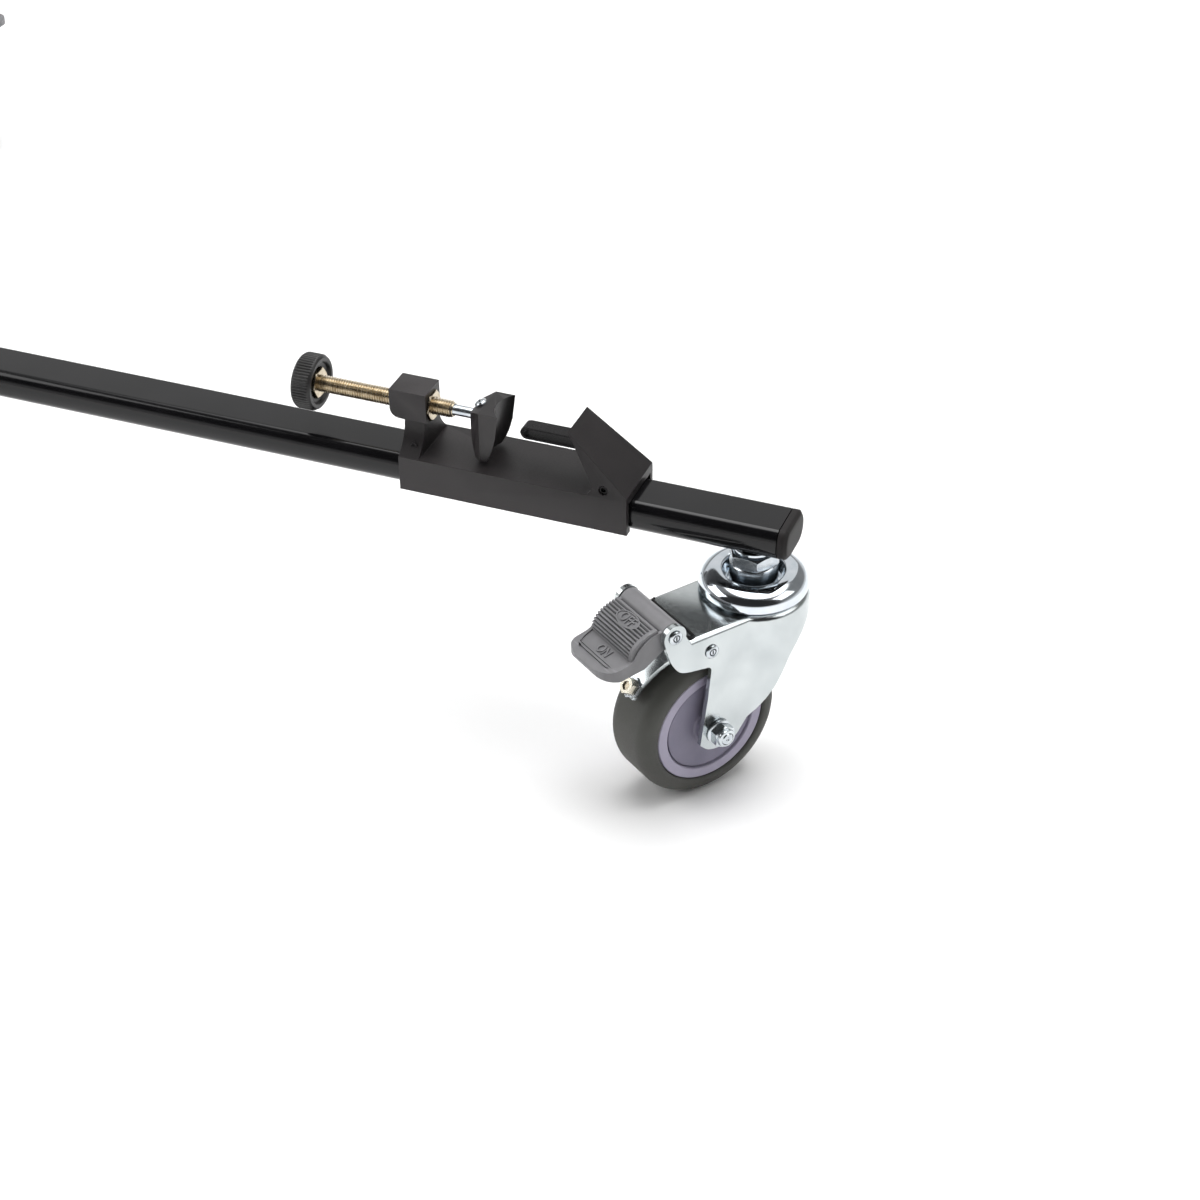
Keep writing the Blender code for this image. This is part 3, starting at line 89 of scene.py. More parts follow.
AXLE_PLACE = (TRAIL, 0, WHEEL_RADIUS)
FORK_INNER, FORK_OUTER, FORK_SHEET = 17.1, 19.5, 2.4
FORK_BOWL, FORK_TOP, FORK_FRONT, FORK_BEND = 25.5, 93, 47.6, 2.6
RACE_RADIUS, RACE_TOP, KINGPIN = 12, 95.5, 6
DOME_FLOOR, DOME_SHEET, DOME_RADIUS = 95.8, 1.5, 25
COLLAR, COLLAR_BOTTOM, NUT_BOTTOM = 11, 97.6, 108.2
STEM_FLATS, STEM_NUT, TUBE_UNDERSIDE = 21, 5.5, 116.3
PEDAL_X, PEDAL_Z, PEDAL_ROLLER = 56.3, 99.2, 5.6
PEDAL_WIDTH, PAD_WIDTH, PAD_SHOULDER = 32.6, 31.0, 3.6
EAR_RADIUS, PIN = 5.8, 2
SHOE_X, SHOE_Z, SHOE_ANGLE = 36.7, 83.7, radians(38.5)
SHOE_INNER, SHOE_OUTER, SHOE_WIDTH = 40.5, 42.5, 14
HUB_RADIUS, HUB_LOBE, HUB_PLATE = 66, 19, 4
PIVOT_RADIUS, SECOND_RIVET = 40, 18

# How finely round shapes are divided
FINE = 96
MEDIUM = 48
SMALL = 24


# Finishes

def shader_nodes(name):
    made = bpy.data.materials.new(name)
    made.use_nodes = True
    tree = made.node_tree
    return made, tree, tree.nodes["Principled BSDF"]


def feed(tree, target, inputs):
    """Sets a node's inputs, and links those that are given another node's output."""
    for key, value in inputs.items():
        if isinstance(value, bpy.types.NodeSocket):
            tree.links.new(value, target.inputs[key])
        else:
            target.inputs[key].default_value = value


def node(tree, kind, inputs):
    made = tree.nodes.new("ShaderNode" + kind)
    feed(tree, made, inputs)
    return made


def blend(tree, kind, inputs):
    made = tree.nodes.new("ShaderNodeMix")
    made.data_type, made.blend_type = "RGBA", kind
    feed(tree, made, inputs)
    return made.outputs["Result"]


def noise(tree, scale, detail, stretch=(1, 1, 1)):
    """Noise over the piece's own coordinates, in metres."""
    place = node(tree, "TexCoord", {}).outputs["Object"]
    mapping = node(tree, "Mapping", {"Vector": place, "Scale": stretch})
    texture = node(tree, "TexNoise", {"Vector": mapping.outputs["Vector"], "Scale": scale, "Detail": detail})
    return texture.outputs["Fac"]


PATCH_DETAIL, GRAIN_DETAIL = 3.0, 4.0
NOISE_LOW, NOISE_HIGH = 0.3, 0.7
EDGE_START, EDGE_FULL = 0.53, 0.62


def finish(name, dark, light, rough, spread, metallic=0.0, patch=90.0, grain=2600.0, relief=0.01,
           stretch=(1, 1, 1), edge_wear_and_highlight=0.0, specular=0.5):
    """A finish whose colour drifts between two tones, with fine grain in its gloss and relief; it can
    lighten convex edges, partly as wear and partly as a painted highlight.
    """
    made, tree, shader = shader_nodes(name)
    tones = node(tree, "ValToRGB", {"Fac": noise(tree, patch, PATCH_DETAIL)})
    stops = zip(tones.color_ramp.elements, (NOISE_LOW, NOISE_HIGH), (dark, light))
    for element, position, tone in stops:
        element.position, element.color = position, (*tone, 1)
    colour = tones.outputs["Color"]
    # Lighter convex edges, found by pointiness: partly edge wear, partly a painted highlight where edges
    # catch light
    if edge_wear_and_highlight:
        edges = node(tree, "NewGeometry", {}).outputs["Pointiness"]
        wear_and_highlight_mask = node(tree, "MapRange", {
            "Value": edges, "From Min": EDGE_START, "From Max": EDGE_FULL, "To Max": edge_wear_and_highlight})
        worn_and_highlit_tone = (*[min(1.0, c * 2.6 + 0.03) for c in light], 1)
        colour = blend(tree, "MIX", {"Factor": wear_and_highlight_mask.outputs["Result"], "A": colour, "B": worn_and_highlit_tone})
    fine = noise(tree, grain, GRAIN_DETAIL, stretch)
    gloss = node(tree, "MapRange", {
        "Value": fine, "From Min": NOISE_LOW, "From Max": NOISE_HIGH,
        "To Min": rough - spread, "To Max": rough + spread})
    bump = node(tree, "Bump", {"Strength": 1.0, "Distance": relief * MM, "Height": fine})
    feed(tree, shader, {
        "Metallic": metallic, "Specular IOR Level": specular, "Base Color": colour,
        "Roughness": gloss.outputs["Result"], "Normal": bump.outputs["Normal"]})
    return made


FINISHES = {
    "tube": finish("gloss_black_tube", (0.0035, 0.0035, 0.004), (0.006, 0.0058, 0.0066), 0.13, 0.03,
                   patch=40, grain=900, relief=0.003, specular=0.35),
    "cap": finish("satin_black_cap", (0.012, 0.011, 0.011), (0.017, 0.015, 0.015), 0.5, 0.05,
                  relief=0.006, edge_wear_and_highlight=0.3, specular=0.15),
    "clamp": finish("moulded_black_nylon", (0.01, 0.0085, 0.009), (0.015, 0.0125, 0.0132), 0.44, 0.07,
                    patch=55, grain=2200, relief=0.012, edge_wear_and_highlight=0.35, specular=0.3),
    "jaw": finish("moulded_black_jaw", (0.008, 0.007, 0.0075), (0.013, 0.011, 0.0115), 0.36, 0.06,
                  patch=70, grain=1800, relief=0.02, edge_wear_and_highlight=0.35, specular=0.35),
    "knob": finish("moulded_black_knob", (0.004, 0.004, 0.004), (0.008, 0.007, 0.007), 0.42, 0.06,
                   patch=120, grain=1800, relief=0.008, edge_wear_and_highlight=0.25),
    "dark_steel": finish("dark_spring_steel", (0.006, 0.006, 0.006), (0.012, 0.011, 0.012), 0.28, 0.05,
                         patch=120, grain=3000, relief=0.004, edge_wear_and_highlight=0.3, specular=0.12),
    "pale_brass": finish("pale_plated_brass", (0.66, 0.61, 0.5), (0.82, 0.78, 0.68), 0.22, 0.05,
                         metallic=1.0, patch=260, relief=0.003),
    "plate_steel": finish("black_plate_steel", (0.012, 0.012, 0.013), (0.02, 0.02, 0.021), 0.38, 0.06,
                          patch=70, grain=1500, relief=0.012, edge_wear_and_highlight=0.3),
    "zinc": finish("bright_zinc", (0.47, 0.505, 0.515), (0.61, 0.645, 0.65), 0.21, 0.03,
                   metallic=1.0, patch=48, grain=700, relief=0.0012, stretch=(1, 1, 0.25)),
    "dome": finish("polished_zinc_dome", (0.6, 0.66, 0.71), (0.72, 0.75, 0.79), 0.1, 0.03,
                   metallic=1.0, patch=110, grain=2400, relief=0.0015),
    "hex": finish("plated_hex", (0.5, 0.54, 0.58), (0.68, 0.71, 0.73), 0.2, 0.05,
                  metallic=1.0, patch=160, relief=0.004),
    "brass": finish("yellow_zinc", (0.4, 0.33, 0.23), (0.6, 0.53, 0.41), 0.24, 0.06,
                    metallic=1.0, patch=260, relief=0.004),
    "grey": finish("grey_pedal", (0.15, 0.149, 0.156), (0.18, 0.178, 0.186), 0.42, 0.06,
                   patch=120, edge_wear_and_highlight=0.12),
    "ring": finish("rim_ring", (0.33, 0.305, 0.4), (0.38, 0.355, 0.45), 0.46, 0.06,
                   relief=0.008),
    "disc": finish("wheel_disc", (0.185, 0.172, 0.238), (0.215, 0.2, 0.27), 0.48, 0.06,
                   patch=70, grain=2200),
    "tyre": finish("grey_rubber", (0.046, 0.046, 0.041), (0.06, 0.06, 0.053), 0.6, 0.07,
                   patch=45, grain=1800, relief=0.016),
    # Painted shade: a near-black finish for discs and bars set inside hollows, slots and sockets, where
    # there is only shade
    "painted_shade": finish("painted_shade_in_gaps", (0.006, 0.006, 0.006), (0.01, 0.01, 0.01), 0.7, 0.05),
}


# Modelling helpers

def new_object(name, mesh):
    obj = bpy.data.objects.new(name, mesh)
    bpy.context.scene.collection.objects.link(obj)
    return obj


def from_bmesh(edit):
    bmesh.ops.recalc_face_normals(edit, faces=edit.faces)
    mesh = bpy.data.meshes.new("shape")
    edit.to_mesh(mesh)
    edit.free()
    return new_object("shape", mesh)


def bake(obj):
    """The object with its modifiers applied and its transform in its mesh."""
    bpy.context.view_layer.update()
    graph = bpy.context.evaluated_depsgraph_get()
    mesh = bpy.data.meshes.new_from_object(obj.evaluated_get(graph), depsgraph=graph)
    mesh.transform(obj.matrix_world)
    name = obj.name
    bpy.data.objects.remove(obj)
    return new_object(name, mesh)


PLANES = {
    "XY": lambda u, v, w: (u, v, w),
    "XZ": lambda u, v, w: (u, w, v),
    "YZ": lambda u, v, w: (w, u, v),
}


def metres(point):
    return Vector([c * MM for c in point])


def prism(points, low, high, plane="XZ"):
    """A flat outline, carried from one depth to another across its plane."""
    edit = bmesh.new()
    rings = [[edit.verts.new(metres(PLANES[plane](u, v, w))) for u, v in points] for w in (low, high)]
    for ring in rings:
        edit.faces.new(ring)
    for i in range(len(points)):
        j = (i + 1) % len(points)
        edit.faces.new((rings[0][i], rings[0][j], rings[1][j], rings[1][i]))
    return from_bmesh(edit)


TURNS = {
    "X": lambda r, a, h: (h, r * cos(a), r * sin(a)),
    "Y": lambda r, a, h: (r * sin(a), h, r * cos(a)),
    "Z": lambda r, a, h: (r * cos(a), r * sin(a), h),
}


def turned(profile, axis="Z", steps=MEDIUM, place=(0, 0, 0), closed=False, start=0.0):
    """A solid of revolution from (radius, height) points; closed joins the last point to the first."""
    edit = bmesh.new()
    rings = []
    for r, h in profile:
        angles = [start + 2 * pi * i / steps for i in range(steps if r else 1)]
        rings.append([edit.verts.new(metres(TURNS[axis](r, a, h)) + metres(place)) for a in angles])
    pairs = list(zip(rings, rings[1:]))
    if closed:
        pairs.append((rings[-1], rings[0]))
    for a, b in pairs:
        for i in range(steps):
            j = (i + 1) % steps
            corners = [a[i % len(a)], a[j % len(a)], b[j % len(b)], b[i % len(b)]]
            unique = list(dict.fromkeys(corners))
            if len(unique) > 2:
                edit.faces.new(unique)
    return from_bmesh(edit)


def cylinder(radius, low, high, axis="Z", place=(0, 0, 0), steps=SMALL, start=0.0):
    return turned([(0, low), (radius, low), (radius, high), (0, high)], axis, steps, place, start=start)


def hexagon(flats, low, high, axis="Z", place=(0, 0, 0), chamfer=0.0, start=0.0):
    """A hex prism whose corners are chamfered at both ends, as on a nut."""
    corner = flats / 2 / cos(pi / 6)
    body = cylinder(corner, low, high, axis, place, 6, start)
    if chamfer:
        inner = flats / 2 + 0.1
        trimmer = turned([
            (0, low - 1), (inner - 1.4, low - 1), (inner, low),
            (corner + 0.2, low + chamfer), (corner + 0.2, high - chamfer),
            (inner, high), (inner - 1.4, high + 1), (0, high + 1),
        ], axis, MEDIUM, place)
        body = trim(body, trimmer)
    return body


def combine(target, other, operation):
    boolean = target.modifiers.new("Boolean", "BOOLEAN")
    boolean.operation = operation
    boolean.solver = "EXACT"
    boolean.object = other
    result = bake(target)
    bpy.data.objects.remove(other)
    return result


def trim(target, other):
    return combine(target, other, "INTERSECT")


def cut(target, *others):
    for other in others:
        target = combine(target, other, "DIFFERENCE")
    return target


def join(target, *others):
    for other in others:
        target = combine(target, other, "UNION")
    return target


def rounded(obj, width, segments=2, angle=30.0):
    """Rounds the edges that are sharper than an angle."""
    bevel = obj.modifiers.new("Round", "BEVEL")
    bevel.width = width * MM
    bevel.segments = segments
    bevel.limit_method = "ANGLE"
    bevel.angle_limit = radians(angle)
    bevel.use_clamp_overlap = True
    bevel.miter_outer = "MITER_ARC"
    return bake(obj)


def clean(obj, flat=0.2):
    """Welds doubled corners and joins faces that lie in one plane."""
    edit = bmesh.new()
    edit.from_mesh(obj.data)
    bmesh.ops.remove_doubles(edit, verts=edit.verts, dist=0.002 * MM)
    bmesh.ops.dissolve_limit(edit, angle_limit=radians(flat), verts=edit.verts, edges=edit.edges)
    edit.to_mesh(obj.data)
    edit.free()
    return obj


def shift(x=0.0, y=0.0, z=0.0):
    return Matrix.Translation(metres((x, y, z)))


def moved(obj, x=0.0, y=0.0, z=0.0):
    obj.data.transform(shift(x, y, z))
    return obj


def arc(centre, radius, start, end, steps):
    turns = [start + (end - start) * i / steps for i in range(steps + 1)]
    return [(centre[0] + radius * cos(a), centre[1] + radius * sin(a)) for a in turns]


def smooth(points, steps=4):
    """A smooth run through the points, both ends included."""
    padded = [points[0], *points, points[-1]]
    run = []
    for a, b, c, d in zip(padded, padded[1:], padded[2:], padded[3:]):
        for i in range(steps):
            t = i / steps
            run.append(tuple(
                0.5 * (2 * q + (r - p) * t + (2 * p - 5 * q + 4 * r - s) * t * t
                       + (3 * q - p - 3 * r + s) * t ** 3)
                for p, q, r, s in zip(a, b, c, d)
            ))
    return [*run, points[-1]]


def mirrored(points):
    return [*points, *[(-u, v) for u, v in reversed(points)]]


def upright(plan):
    """A prism from a plan, taller than any piece, to trim or cut with."""
    return prism(plan, -200, 200, "XY")


def both_sides(points):
    """Half an outline and its mirror image, with the second coordinates turned round."""
    return [*points, *[(u, -v) for u, v in reversed(points)]]


def shaded(obj, finish_name, angle=32.0):
    """The finished mesh: one material, smooth where it is round."""
    obj.data.shade_smooth()
    obj.data.set_sharp_from_angle(angle=radians(angle))
    even = obj.modifiers.new("Even", "WEIGHTED_NORMAL")
    even.keep_sharp = True
    even.weight = 80
    obj = bake(obj)
    mesh = obj.data
    mesh.materials.clear()
    mesh.materials.append(FINISHES[finish_name])
    mesh["finish"] = finish_name
    bpy.data.objects.remove(obj)
    return mesh


# Places, read from the frame

def joint_place(name):
    return Vector(JOINTS[name]["pos_m"])


def placed_frame(origin, along):
    """The matrix of a frame at a place, with +Z up and its x axis along a level direction."""
    x = Vector((along.x, along.y, 0)).normalized()
    y = Vector((0, 0, 1)).cross(x)
    matrix = Matrix((x, y, Vector((0, 0, 1)))).transposed().to_4x4()
    matrix.translation = origin
    return matrix


def arm_frames(number):
    stem = joint_place(f"caster_swivel_{number}")
    wheel = joint_place(f"wheel_spin_{number}")
    lever = joint_place(f"lock_lever_press_{number}")
    along = Vector((stem.x, stem.y, 0)).normalized()
    low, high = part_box("arm_tube_1")
    middle = lever - along * LEVER_FROM_MIDDLE * MM
    return {
        "arm": placed_frame(Vector((0, 0, low.z)), along),
        "clamp": placed_frame(Vector((middle.x, middle.y, high.z)), along),
        "caster": placed_frame(Vector((stem.x, stem.y, wheel.z - WHEEL_RADIUS * MM)), wheel - stem),
    }, hypot(stem.x, stem.y) / MM


def put(mesh, name, matrix, like, *stands_for):
    """Seats a copy of a mesh in its frame, on the body of the CAD node that it is like."""
    own = mesh.copy()
    own.transform(matrix)
    obj = new_object(name, own)
    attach(obj, BODY_OF[like])
    if stands_for:
        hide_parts(*stands_for)
    return obj


def own_shape(node, frame_name):
    """A copy of the first arm's CAD shape, brought into the arm's own frame."""
    copy = new_object(node, frame["nodes"][node + "_1"].data.copy())
    copy.data.transform(arm_frames(1)[0][frame_name].inverted())
    return clean(copy)


# Arm

def tube_section(inset=0.0, steps=9):
    """The tube's outline, (y, z) from the tube's underside, taken in by an inset all round."""
    half, middle = TUBE_WIDTH / 2 - inset, TUBE_HEIGHT / 2
    rise = middle - inset
    low, top = TUBE_BOTTOM_FLAT / 2 - inset / 2, TUBE_TOP_FLAT / 2 - inset / 2
    right = []
    for i in range(steps + 1):
        turn = pi / 2 * i / steps
        right.append((low + (half - low) * sin(turn), middle - rise * cos(turn)))
    for i in range(1, steps + 1):
        turn = pi / 2 * i / steps
        right.append((top + (half - top) * cos(turn), middle + rise * sin(turn)))
    return mirrored(right)


def arm_tube(reach):
    end = reach + TUBE_PAST_STEM
    tube = prism(tube_section(), TUBE_START, end, "YZ")
    tube = cut(tube, prism(tube_section(TUBE_WALL), TUBE_START - 1, end + 1, "YZ"))
    return shaded(tube, "tube", 40)


def loft(rings):
    """A closed solid through rings of equal numbers of points."""
    edit = bmesh.new()
    made = [[edit.verts.new(metres(p)) for p in ring] for ring in rings]
    edit.faces.new(made[0])
    edit.faces.new(made[-1])
    for a, b in zip(made, made[1:]):
        for i in range(len(a)):
            j = (i + 1) % len(a)
            edit.faces.new((a[i], a[j], b[j], b[i]))
    return from_bmesh(edit)


def arm_end_cap(reach):
    """The cap: a rim a hair proud of the seam, a chamfer, and a slightly crowned face."""
    face = reach + TUBE_PAST_STEM + GAP
    steps = [(0.0, 0.25), (0.25, 0.0), (2.6, 0.0), (3.1, 0.12), (4.1, 1.25), (4.4, 1.7), (4.5, 4.0)]
    rings = [[(face + x, y, z) for y, z in tube_section(inset)] for x, inset in steps]
    return shaded(loft(rings), "cap", 50)


# Foot clamp

def block(low, high):
    """A box between two corners."""
    corners = [(low[0], low[1]), (high[0], low[1]), (high[0], high[1]), (low[0], high[1])]
    return prism(corners, low[2], high[2], "XY")


def clamp_body():
    """The CAD's body, rounded; its nut pocket, which nearly reaches the sides, is filled and cut again."""
    head = block((-55, -HEAD_HALF_WIDTH, HEAD_BOTTOM), (HEAD_FACE, HEAD_HALF_WIDTH, HEAD_TOP))
    below = block((-55, -5, HEAD_BOTTOM - 3), (HEAD_FACE - 0.9, 5, HEAD_BOTTOM + 1))
    body = clean(join(own_shape("clamp_body", "clamp"), head, below))
    body = rounded(body, 0.45, 3, 25)
    axis = (0, 0, SCREW_HEIGHT)
    pocket = hexagon(POCKET_FLATS, NUT_START, HEAD_FACE + 1, "X", axis)
    bore = cylinder(SCREW_RADIUS + GAP, -66, NUT_START + 1, "X", axis)
    return shaded(cut(body, pocket, bore), "clamp")


def lock_lever():
    return shaded(rounded(own_shape("lock_lever", "clamp"), 0.25, 2, 25), "dark_steel")


def clamp_jaw():
    left, right = JAW_LEFT, JAW_LEFT + JAW_DEPTH
    side = smooth([(left, JAW_TOP - 2.6), (left, JAW_FLOOR + 9), (left + 2.2, JAW_FLOOR)], 6)
    face = smooth([
        (right - 6.5, JAW_FLOOR), (right - 3.8, JAW_FLOOR + 6),
        (right - 0.9, JAW_TOP - 8), (right, JAW_TOP - 0.4),
    ], 6)
    crown = [(right - 0.4, JAW_TOP), (left + 5.4, JAW_TOP)]
    jaw = prism([*side, *face, *crown], -JAW_HALF_WIDTH, JAW_HALF_WIDTH)
    run, fall = 5.6, 4.2
    plan = [
        (left - run / 4, JAW_HALF_WIDTH - fall * 1.25), (left + run, JAW_HALF_WIDTH),
        (right + 1, JAW_HALF_WIDTH), (right + 1, -JAW_HALF_WIDTH),
        (left + run, -JAW_HALF_WIDTH), (left - run / 4, -JAW_HALF_WIDTH + fall * 1.25),
    ]
    jaw = trim(jaw, upright(plan))
    rim = JAW_TOP - 1.3
    groove = turned([
        (0, -20), (13.9, -20), (13.9, rim), (15.6, rim + 2.2), (15.6, 60), (0, 60),
    ], steps=FINE, place=(right + 9.1, 0, 0))
    groove.data.transform(shift(z=JAW_TOP) @ Matrix.Rotation(radians(8), 4, "Y") @ shift(z=-JAW_TOP))
    bore = cylinder(2.8, left - 1, left + 8, "X", (0, 0, SCREW_HEIGHT))
    return shaded(rounded(clean(cut(jaw, groove, bore)), 0.7, 3, 28), "jaw")


def jaw_screw():
    """The small slotted screw in the jaw's sloping corner, which holds the spindle's pin."""
    head = turned([
        (0, -3), (1.6, -3), (1.6, 0.15), (2.7, 0.15), (2.9, 0.35),
        (2.9, 1.0), (2.5, 1.5), (1.6, 1.8), (0, 1.95),
    ], steps=SMALL)
    for turn in (0, pi / 2):
        arm = 1.8
        slot = prism([(-arm, 0.9), (arm, 0.9), (arm, 3), (-arm, 3)], -0.35, 0.35)
        slot.data.transform(Matrix.Rotation(turn + 0.5, 4, "Z"))
        head = cut(head, slot)
    head.data.transform(shift(JAW_LEFT + 2.7, 0, JAW_TOP - 1.3) @ Matrix.Rotation(radians(-26), 4, "Y"))
    return shaded(head, "hex")


def thread(start, end):
    """A screw thread as one wound surface, closed at both ends."""
    sides, root = 20, SCREW_RADIUS - 0.78
    turns = int((end - start) / SCREW_PITCH)
    shape = [(0.0, root), (0.4, SCREW_RADIUS), (0.52, SCREW_RADIUS), (0.92, root)]
    edit = bmesh.new()
    rows = []
    for i in range(turns * sides + 1):
        angle = 2 * pi * i / sides
        fade = min(1.0, 2.0 * i / sides, 2.0 * (turns * sides - i) / sides)
        row = []
        for share, radius in shape:
            r = root + (radius - root) * fade
            x = start + (i / sides + share) * SCREW_PITCH
            row.append(edit.verts.new(metres((x, r * cos(angle), r * sin(angle)))))
        rows.append(row)
    for a, b in zip(rows, rows[1:]):
        for i in range(len(shape) - 1):
            edit.faces.new((a[i], a[i + 1], b[i + 1], b[i]))
    for i in range(len(rows) - sides - 1):
        edit.faces.new((rows[i][-1], rows[i + 1][-1], rows[i + 1 + sides][0], rows[i + sides][0]))
    middle = (start + end) / 2 * MM
    ends = [edit.verts.new((x * MM, 0, 0)) for x in (start + SCREW_PITCH / 2, end)]
    for edge in [e for e in edit.edges if len(e.link_faces) == 1]:
        edit.faces.new((*edge.verts, ends[edge.verts[0].co.x > middle]))
    return from_bmesh(edit)


def clamp_screw():
    """The threaded spindle with its drive hex."""
    end = THREAD_END - 0.3
    spindle = thread(KNOB_FACE - 4, end)
    core = cylinder(SCREW_RADIUS - 0.77, KNOB_FACE - 7.5, end + 0.5, "X")
    drive = hexagon(HEX_FLATS, KNOB_FACE - 5, KNOB_FACE - 0.2, "X", chamfer=0.6)
    return [
        shaded(moved(spindle, z=SCREW_HEIGHT), "brass", 25),
        shaded(moved(core, z=SCREW_HEIGHT), "brass"),
        shaded(moved(rounded(drive, 0.2), z=SCREW_HEIGHT), "brass"),
    ]


def spindle_pin():
    """The plain bright pin that turns in the jaw, with the groove that the jaw's screw sits in."""
    r, start = 2.5, THREAD_END - 1.2
    pin = turned([
        (0, start), (3.1, start), (3.1, start + 1.0), (r, start + 1.9), (r, -24.6),
        (1.9, -24.2), (1.9, -23.6), (r, -23.3), (r, SCREW_TIP - 0.5),
        (r - 0.5, SCREW_TIP), (0, SCREW_TIP),
    ], "X", SMALL)
    return shaded(moved(pin, z=SCREW_HEIGHT), "hex")


def clamp_knob():
    """The knob: a knurled rim, plain rounded borders, and a dished face round the drive hex."""
    teeth, per_tooth = 56, 4
    back = KNOB_FACE - KNOB_THICKNESS
    r = KNOB_RADIUS
    profile = [
        (6.6, KNOB_FACE - 4.6, 0), (7.6, KNOB_FACE - 1.6, 0), (9.4, KNOB_FACE - 1.5, 0),
        (10.0, KNOB_FACE - 0.3, 0), (10.5, KNOB_FACE, 0), (11.9, KNOB_FACE, 0),
        (12.5, KNOB_FACE - 0.5, 0), (12.8, KNOB_FACE - 1.1, 0.3),
        (r, KNOB_FACE - 1.7, 1), (r, back + 1.6, 1), (12.8, back + 1.0, 0.3),
        (12.3, back + 0.4, 0), (11.6, back, 0), (6.0, back + 0.2, 0), (0.0, back + 0.3, 0),
    ]
    edit = bmesh.new()
    count = teeth * per_tooth
    rings = []
    for radius, x, knurl in profile:
        ring = []
        for i in range(count if radius else 1):
            angle = 2 * pi * i / count
            dip = 0.42 * knurl * (0.5 - 0.5 * cos(teeth * angle)) ** 1.6
            at = radius - dip
            ring.append(edit.verts.new(Vector((x, at * cos(angle), at * sin(angle))) * MM))
        rings.append(ring)
    for a, b in zip(rings, rings[1:]):
        for i in range(count):
            j = (i + 1) % count
            edit.faces.new(list(dict.fromkeys([a[i], a[j], b[j % len(b)], b[i % len(b)]])))
    edit.faces.new(rings[0])
    return shaded(moved(from_bmesh(edit), z=SCREW_HEIGHT), "knob", 38)


def clamp_nut():
    start = NUT_START
    nut = hexagon(HEX_FLATS, start, start + 7.4, "X", (0, 0, SCREW_HEIGHT), chamfer=0.9)
    bore = cylinder(SCREW_RADIUS + 0.15, start - 1, start + 9, "X", (0, 0, SCREW_HEIGHT))
    return shaded(cut(nut, bore), "brass")


def roll_pin(radius, x, z, half):
    """A spring pin with a hollow end on each side; a near-black disc inside the hollow is painted shade."""
    wall = radius * 0.42
    profile = [
        (radius - wall, -half), (radius - 0.15, -half), (radius, -half + 0.3),
        (radius, half - 0.3), (radius - 0.15, half), (radius - wall, half),
        (radius - wall, half - 1.5), (0.0, half - 1.5),
    ]
    pin = turned(profile, "Y", SMALL, (x, 0, z))
    # Painted shade: a near-black disc inside the hollow end
    end = cylinder(radius - wall, -half, -half + 1.5, "Y", (x, 0, z))
    return shaded(pin, "dark_steel"), shaded(moved(end, y=1.5), "painted_shade")


# Caster

def caster_stem():
    """Washer, chamfered hex, round collar and kingpin, with the pin's head under the crown."""
    top, thick = TUBE_UNDERSIDE - GAP, 2.3
    nut_top = NUT_BOTTOM + STEM_NUT
    washer = turned([
        (0, top), (9.3, top), (9.6, top - 0.3), (9.6, top - 1.3),
        (9.2, top - 1.6), (8.4, top - thick), (0, top - thick),
    ])
    nut = hexagon(STEM_FLATS, NUT_BOTTOM, nut_top + 0.1, chamfer=1.0)
    body = turned([
        (0, NUT_BOTTOM + 1), (COLLAR * 0.9, NUT_BOTTOM + 1), (COLLAR * 0.9, NUT_BOTTOM - 0.1),
        (COLLAR - 0.4, NUT_BOTTOM - 0.5), (COLLAR, NUT_BOTTOM - 1), (COLLAR, COLLAR_BOTTOM + 0.5),
        (COLLAR - 0.5, COLLAR_BOTTOM), (KINGPIN, COLLAR_BOTTOM), (KINGPIN, FORK_TOP - 2.7),
        (9.5, FORK_TOP - 2.7), (9.5, FORK_TOP - 3.4), (8.5, FORK_TOP - 5.1),
        (0, FORK_TOP - 5.1),
    ])
    return [shaded(washer, "dome"), shaded(rounded(nut, 0.25), "hex"), shaded(body, "hex")]


def swivel_dome():
    """The pressed ring over the ball race: a deep well, a full crown and a rolled outer rim."""
    rim, crown = FORK_TOP + 1.8, DOME_FLOOR + 7.7
    well = COLLAR + 1.7
    outer = smooth([
        (well, DOME_FLOOR + DOME_SHEET), (well + 0.5, DOME_FLOOR + 3.4), (well + 1.5, crown - 0.9),
        (COLLAR + 4.6, crown - 0.1), (COLLAR + 7.2, crown - 0.1),
        (DOME_RADIUS - 4.3, crown - 0.9), (DOME_RADIUS - 1.9, crown - 2.5),
        (DOME_RADIUS - 0.5, crown - 4.5), (DOME_RADIUS - 0.1, crown - 6.2),
        (DOME_RADIUS, rim + 0.7),
    ], 5)
    profile = [
        (6.3, DOME_FLOOR + DOME_SHEET), *outer, (DOME_RADIUS - 0.2, rim), (DOME_RADIUS - 1.2, rim),
        (DOME_RADIUS - 1.5, rim + 0.6), (DOME_RADIUS - 2.2, crown - 5),
        (DOME_RADIUS - 5.5, crown - 2.4), (COLLAR + 6, crown - 1.6),
        (well + 1.4, DOME_FLOOR + 0.2), (well, DOME_FLOOR), (6.3, DOME_FLOOR),
    ]
    return shaded(turned(profile, steps=FINE, closed=True), "dome", 45)


def fork_plan(inset, steps=14):
    half, bowl = FORK_OUTER - inset, FORK_BOWL - inset
    meet = (bowl * bowl - half * half) ** 0.5
    turn = atan2(half, meet)
    return [(FORK_FRONT, half), *arc((0, 0), bowl, turn, 2 * pi - turn, 2 * steps), (FORK_FRONT, -half)]


